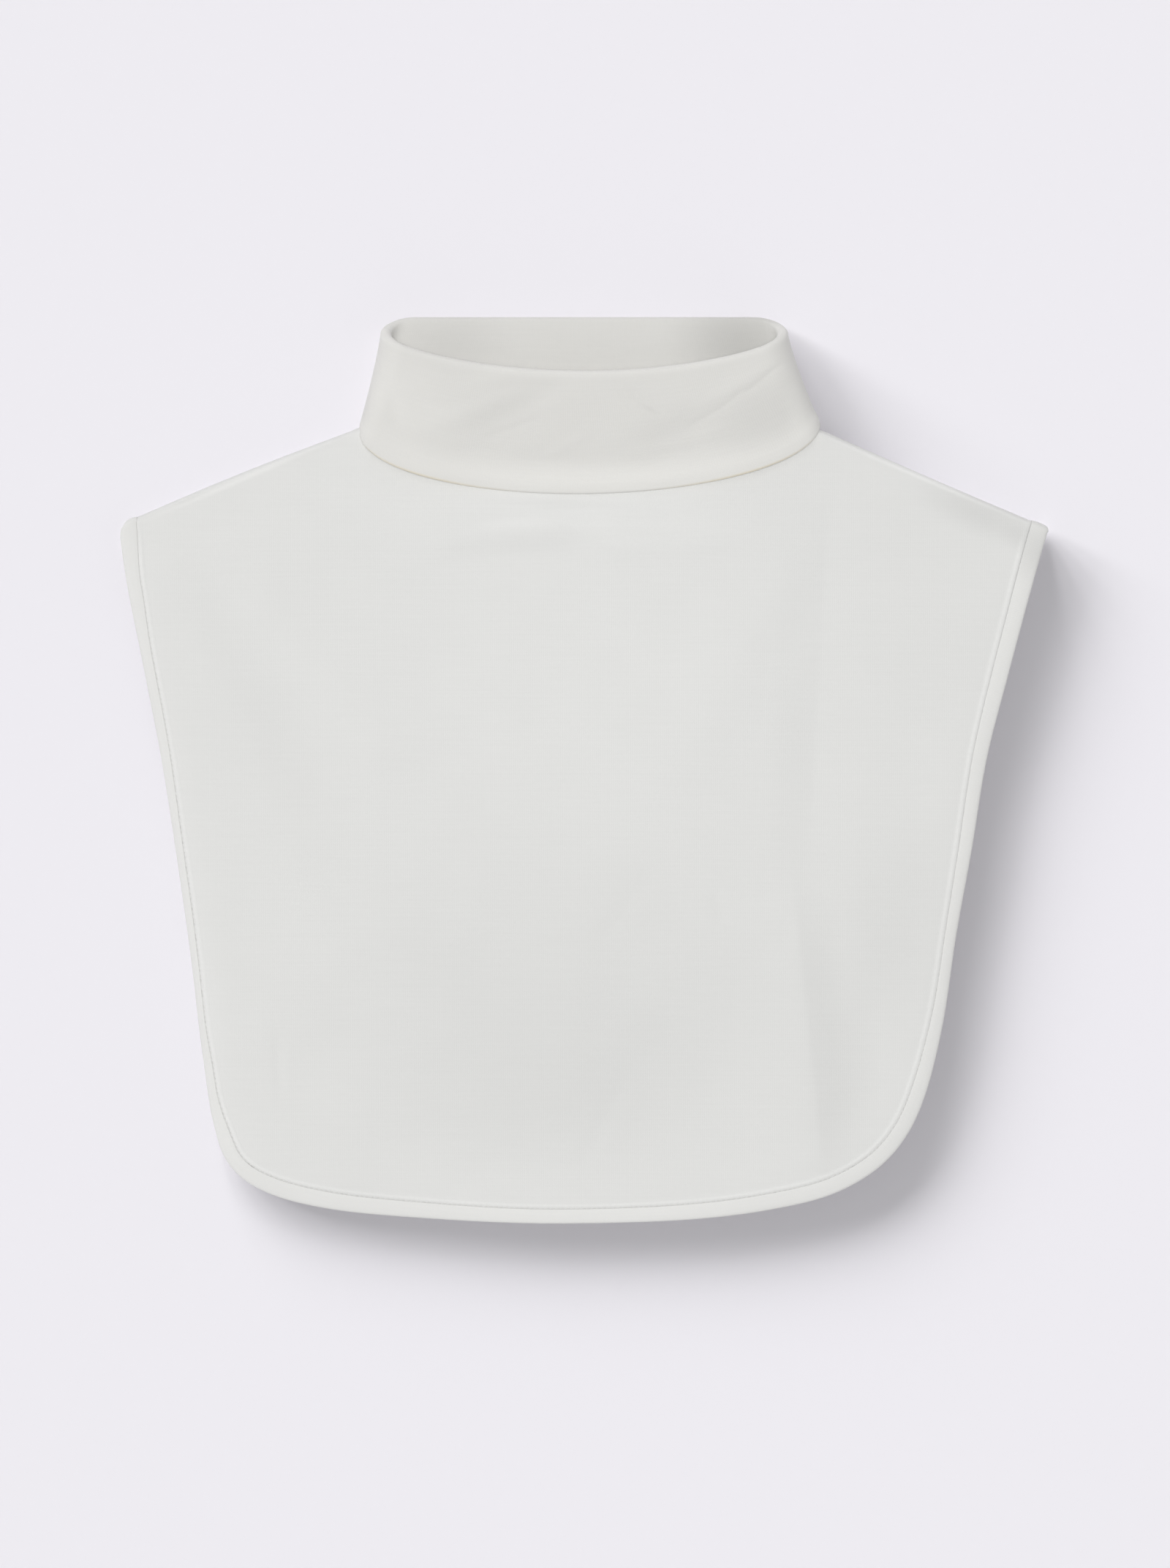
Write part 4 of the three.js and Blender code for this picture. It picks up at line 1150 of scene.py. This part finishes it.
def make_floor():
    half = FLOOR_SIZE / 2
    mesh = bpy.data.meshes.new("surface")
    corners = [(-half, -half, 0), (half, -half, 0), (half, half, 0), (-half, half, 0)]
    mesh.from_pydata(corners, [], [(0, 1, 2, 3)])
    obj = new_object("surface", mesh)
    obj.location.z = -FLOOR_DEPTH
    material, _, shader = new_material("pale_surface", FLOOR_ROUGHNESS, FLOOR_SPECULAR)
    shader["Base Color"].default_value = FLOOR_COLOR
    obj.data.materials.append(material)
    return obj


def collection_of(name, objects):
    collection = bpy.data.collections.new(name)
    for obj in objects:
        collection.objects.link(obj)
    return collection


def sun(name, light, receivers, blockers=None):
    """A soft distant light that gives a share of the full light on a level face to some objects."""
    azimuth, elevation, softness, share = light
    data = bpy.data.lights.new(name, "SUN")
    data.angle = math.radians(softness)
    data.energy = share * math.pi / math.sin(math.radians(elevation))
    obj = new_object(name, data)
    obj.rotation_euler = (0, math.radians(90 - elevation), math.radians(azimuth))
    obj.light_linking.receiver_collection = collection_of(name + "_lights", receivers)
    if blockers:
        obj.light_linking.blocker_collection = collection_of(name + "_blockers", blockers)


# Each light: azimuth, elevation and width in degrees, and its share of the full light on a level
# face. The shares add up to 1 on the cloth, and on the surface too.
SKY_SHARE = 0.3
# The sky dims evenly with the sine of the elevation, so a level face gets a third of the horizon's
# light and two thirds of the zenith's
HORIZON_LIGHT = 0.6
ZENITH_LIGHT = (SKY_SHARE - HORIZON_LIGHT / 3) * 3 / 2
# The cloth is lit from above, and a little from the upper left, from the hem and from the collar
KEY_LIGHT = (258, 42, 50, 0.05)
MODELLING_LIGHT = (155, 50, 20, 0.16)
GAP_LIGHT = (100, 55, 30, 0.06)
TOP_LIGHT = (0, 90, 20, 1 - SKY_SHARE - KEY_LIGHT[-1] - MODELLING_LIGHT[-1] - GAP_LIGHT[-1])
# Low lights from the upper left throw the soft shadow on the surface. The long and the short one
# are fans, with a light at each of these turns from one azimuth. A very soft light from the lower
# right leaves the surface darker beside the lit edges.
SHADOW_AZIMUTH = 127
SHADOW_TURNS = (-24, -8, 8, 24)
LONG_SHADOW = (8.8, 11, 0.14 / len(SHADOW_TURNS))
SHORT_SHADOW = (12.4, 14, 0.35 / len(SHADOW_TURNS))
COLLAR_SHADOW = (150, 26, 20, 0.11)
CONTACT_SHADOW = (300, 50, 76, 0.1)

surface = make_floor()
flat_cloths = [front, back, binding]
cloths = [front, back, collar, binding, stitches, *seams]
sun("cloth_top", TOP_LIGHT, cloths)
sun("cloth_key", KEY_LIGHT, cloths)
sun("cloth_modelling", MODELLING_LIGHT, cloths, flat_cloths)
sun("gap_shadow", GAP_LIGHT, cloths, cloths)
sun("collar_shadow", COLLAR_SHADOW, [surface], [collar])
sun("contact_shadow", CONTACT_SHADOW, [surface], cloths)
for turn in SHADOW_TURNS:
    azimuth = SHADOW_AZIMUTH + turn
    sun("long_shadow", (azimuth, *LONG_SHADOW), [surface], flat_cloths)
    sun("short_shadow", (azimuth, *SHORT_SHADOW), [surface], cloths)

world = bpy.data.worlds.new("studio")
world.use_nodes = True
sky = Nodes(world.node_tree)
direction = sky.add("ShaderNodeTexCoord").outputs["Generated"]
sine = sky.add("ShaderNodeSeparateXYZ", {0: direction}).outputs["Z"]
ends = {"Value": sine, "To Min": HORIZON_LIGHT, "To Max": ZENITH_LIGHT}
background = world.node_tree.nodes["Background"].inputs
background["Color"].default_value = (1, 1, 1, 1)
sky.feed(background["Strength"], sky.add("ShaderNodeMapRange", ends).outputs[0])
bpy.context.scene.world = world
bpy.context.scene.view_settings.view_transform = "Standard"

# The camera looks straight down, and the photograph's height covers this much of the cloth's plane.
VIEW_HEIGHT = 0.6646
VIEW_CENTRE = (0.0003, -0.0064)
VIEW_PLANE = 0.012
LENS = 100
SENSOR = 36
camera_data = bpy.data.cameras.new("camera")
camera_data.lens = LENS
camera_data.sensor_width = SENSOR
camera = new_object("camera", camera_data)
camera.location = (*VIEW_CENTRE, VIEW_PLANE + VIEW_HEIGHT * LENS / SENSOR)
bpy.context.scene.camera = camera
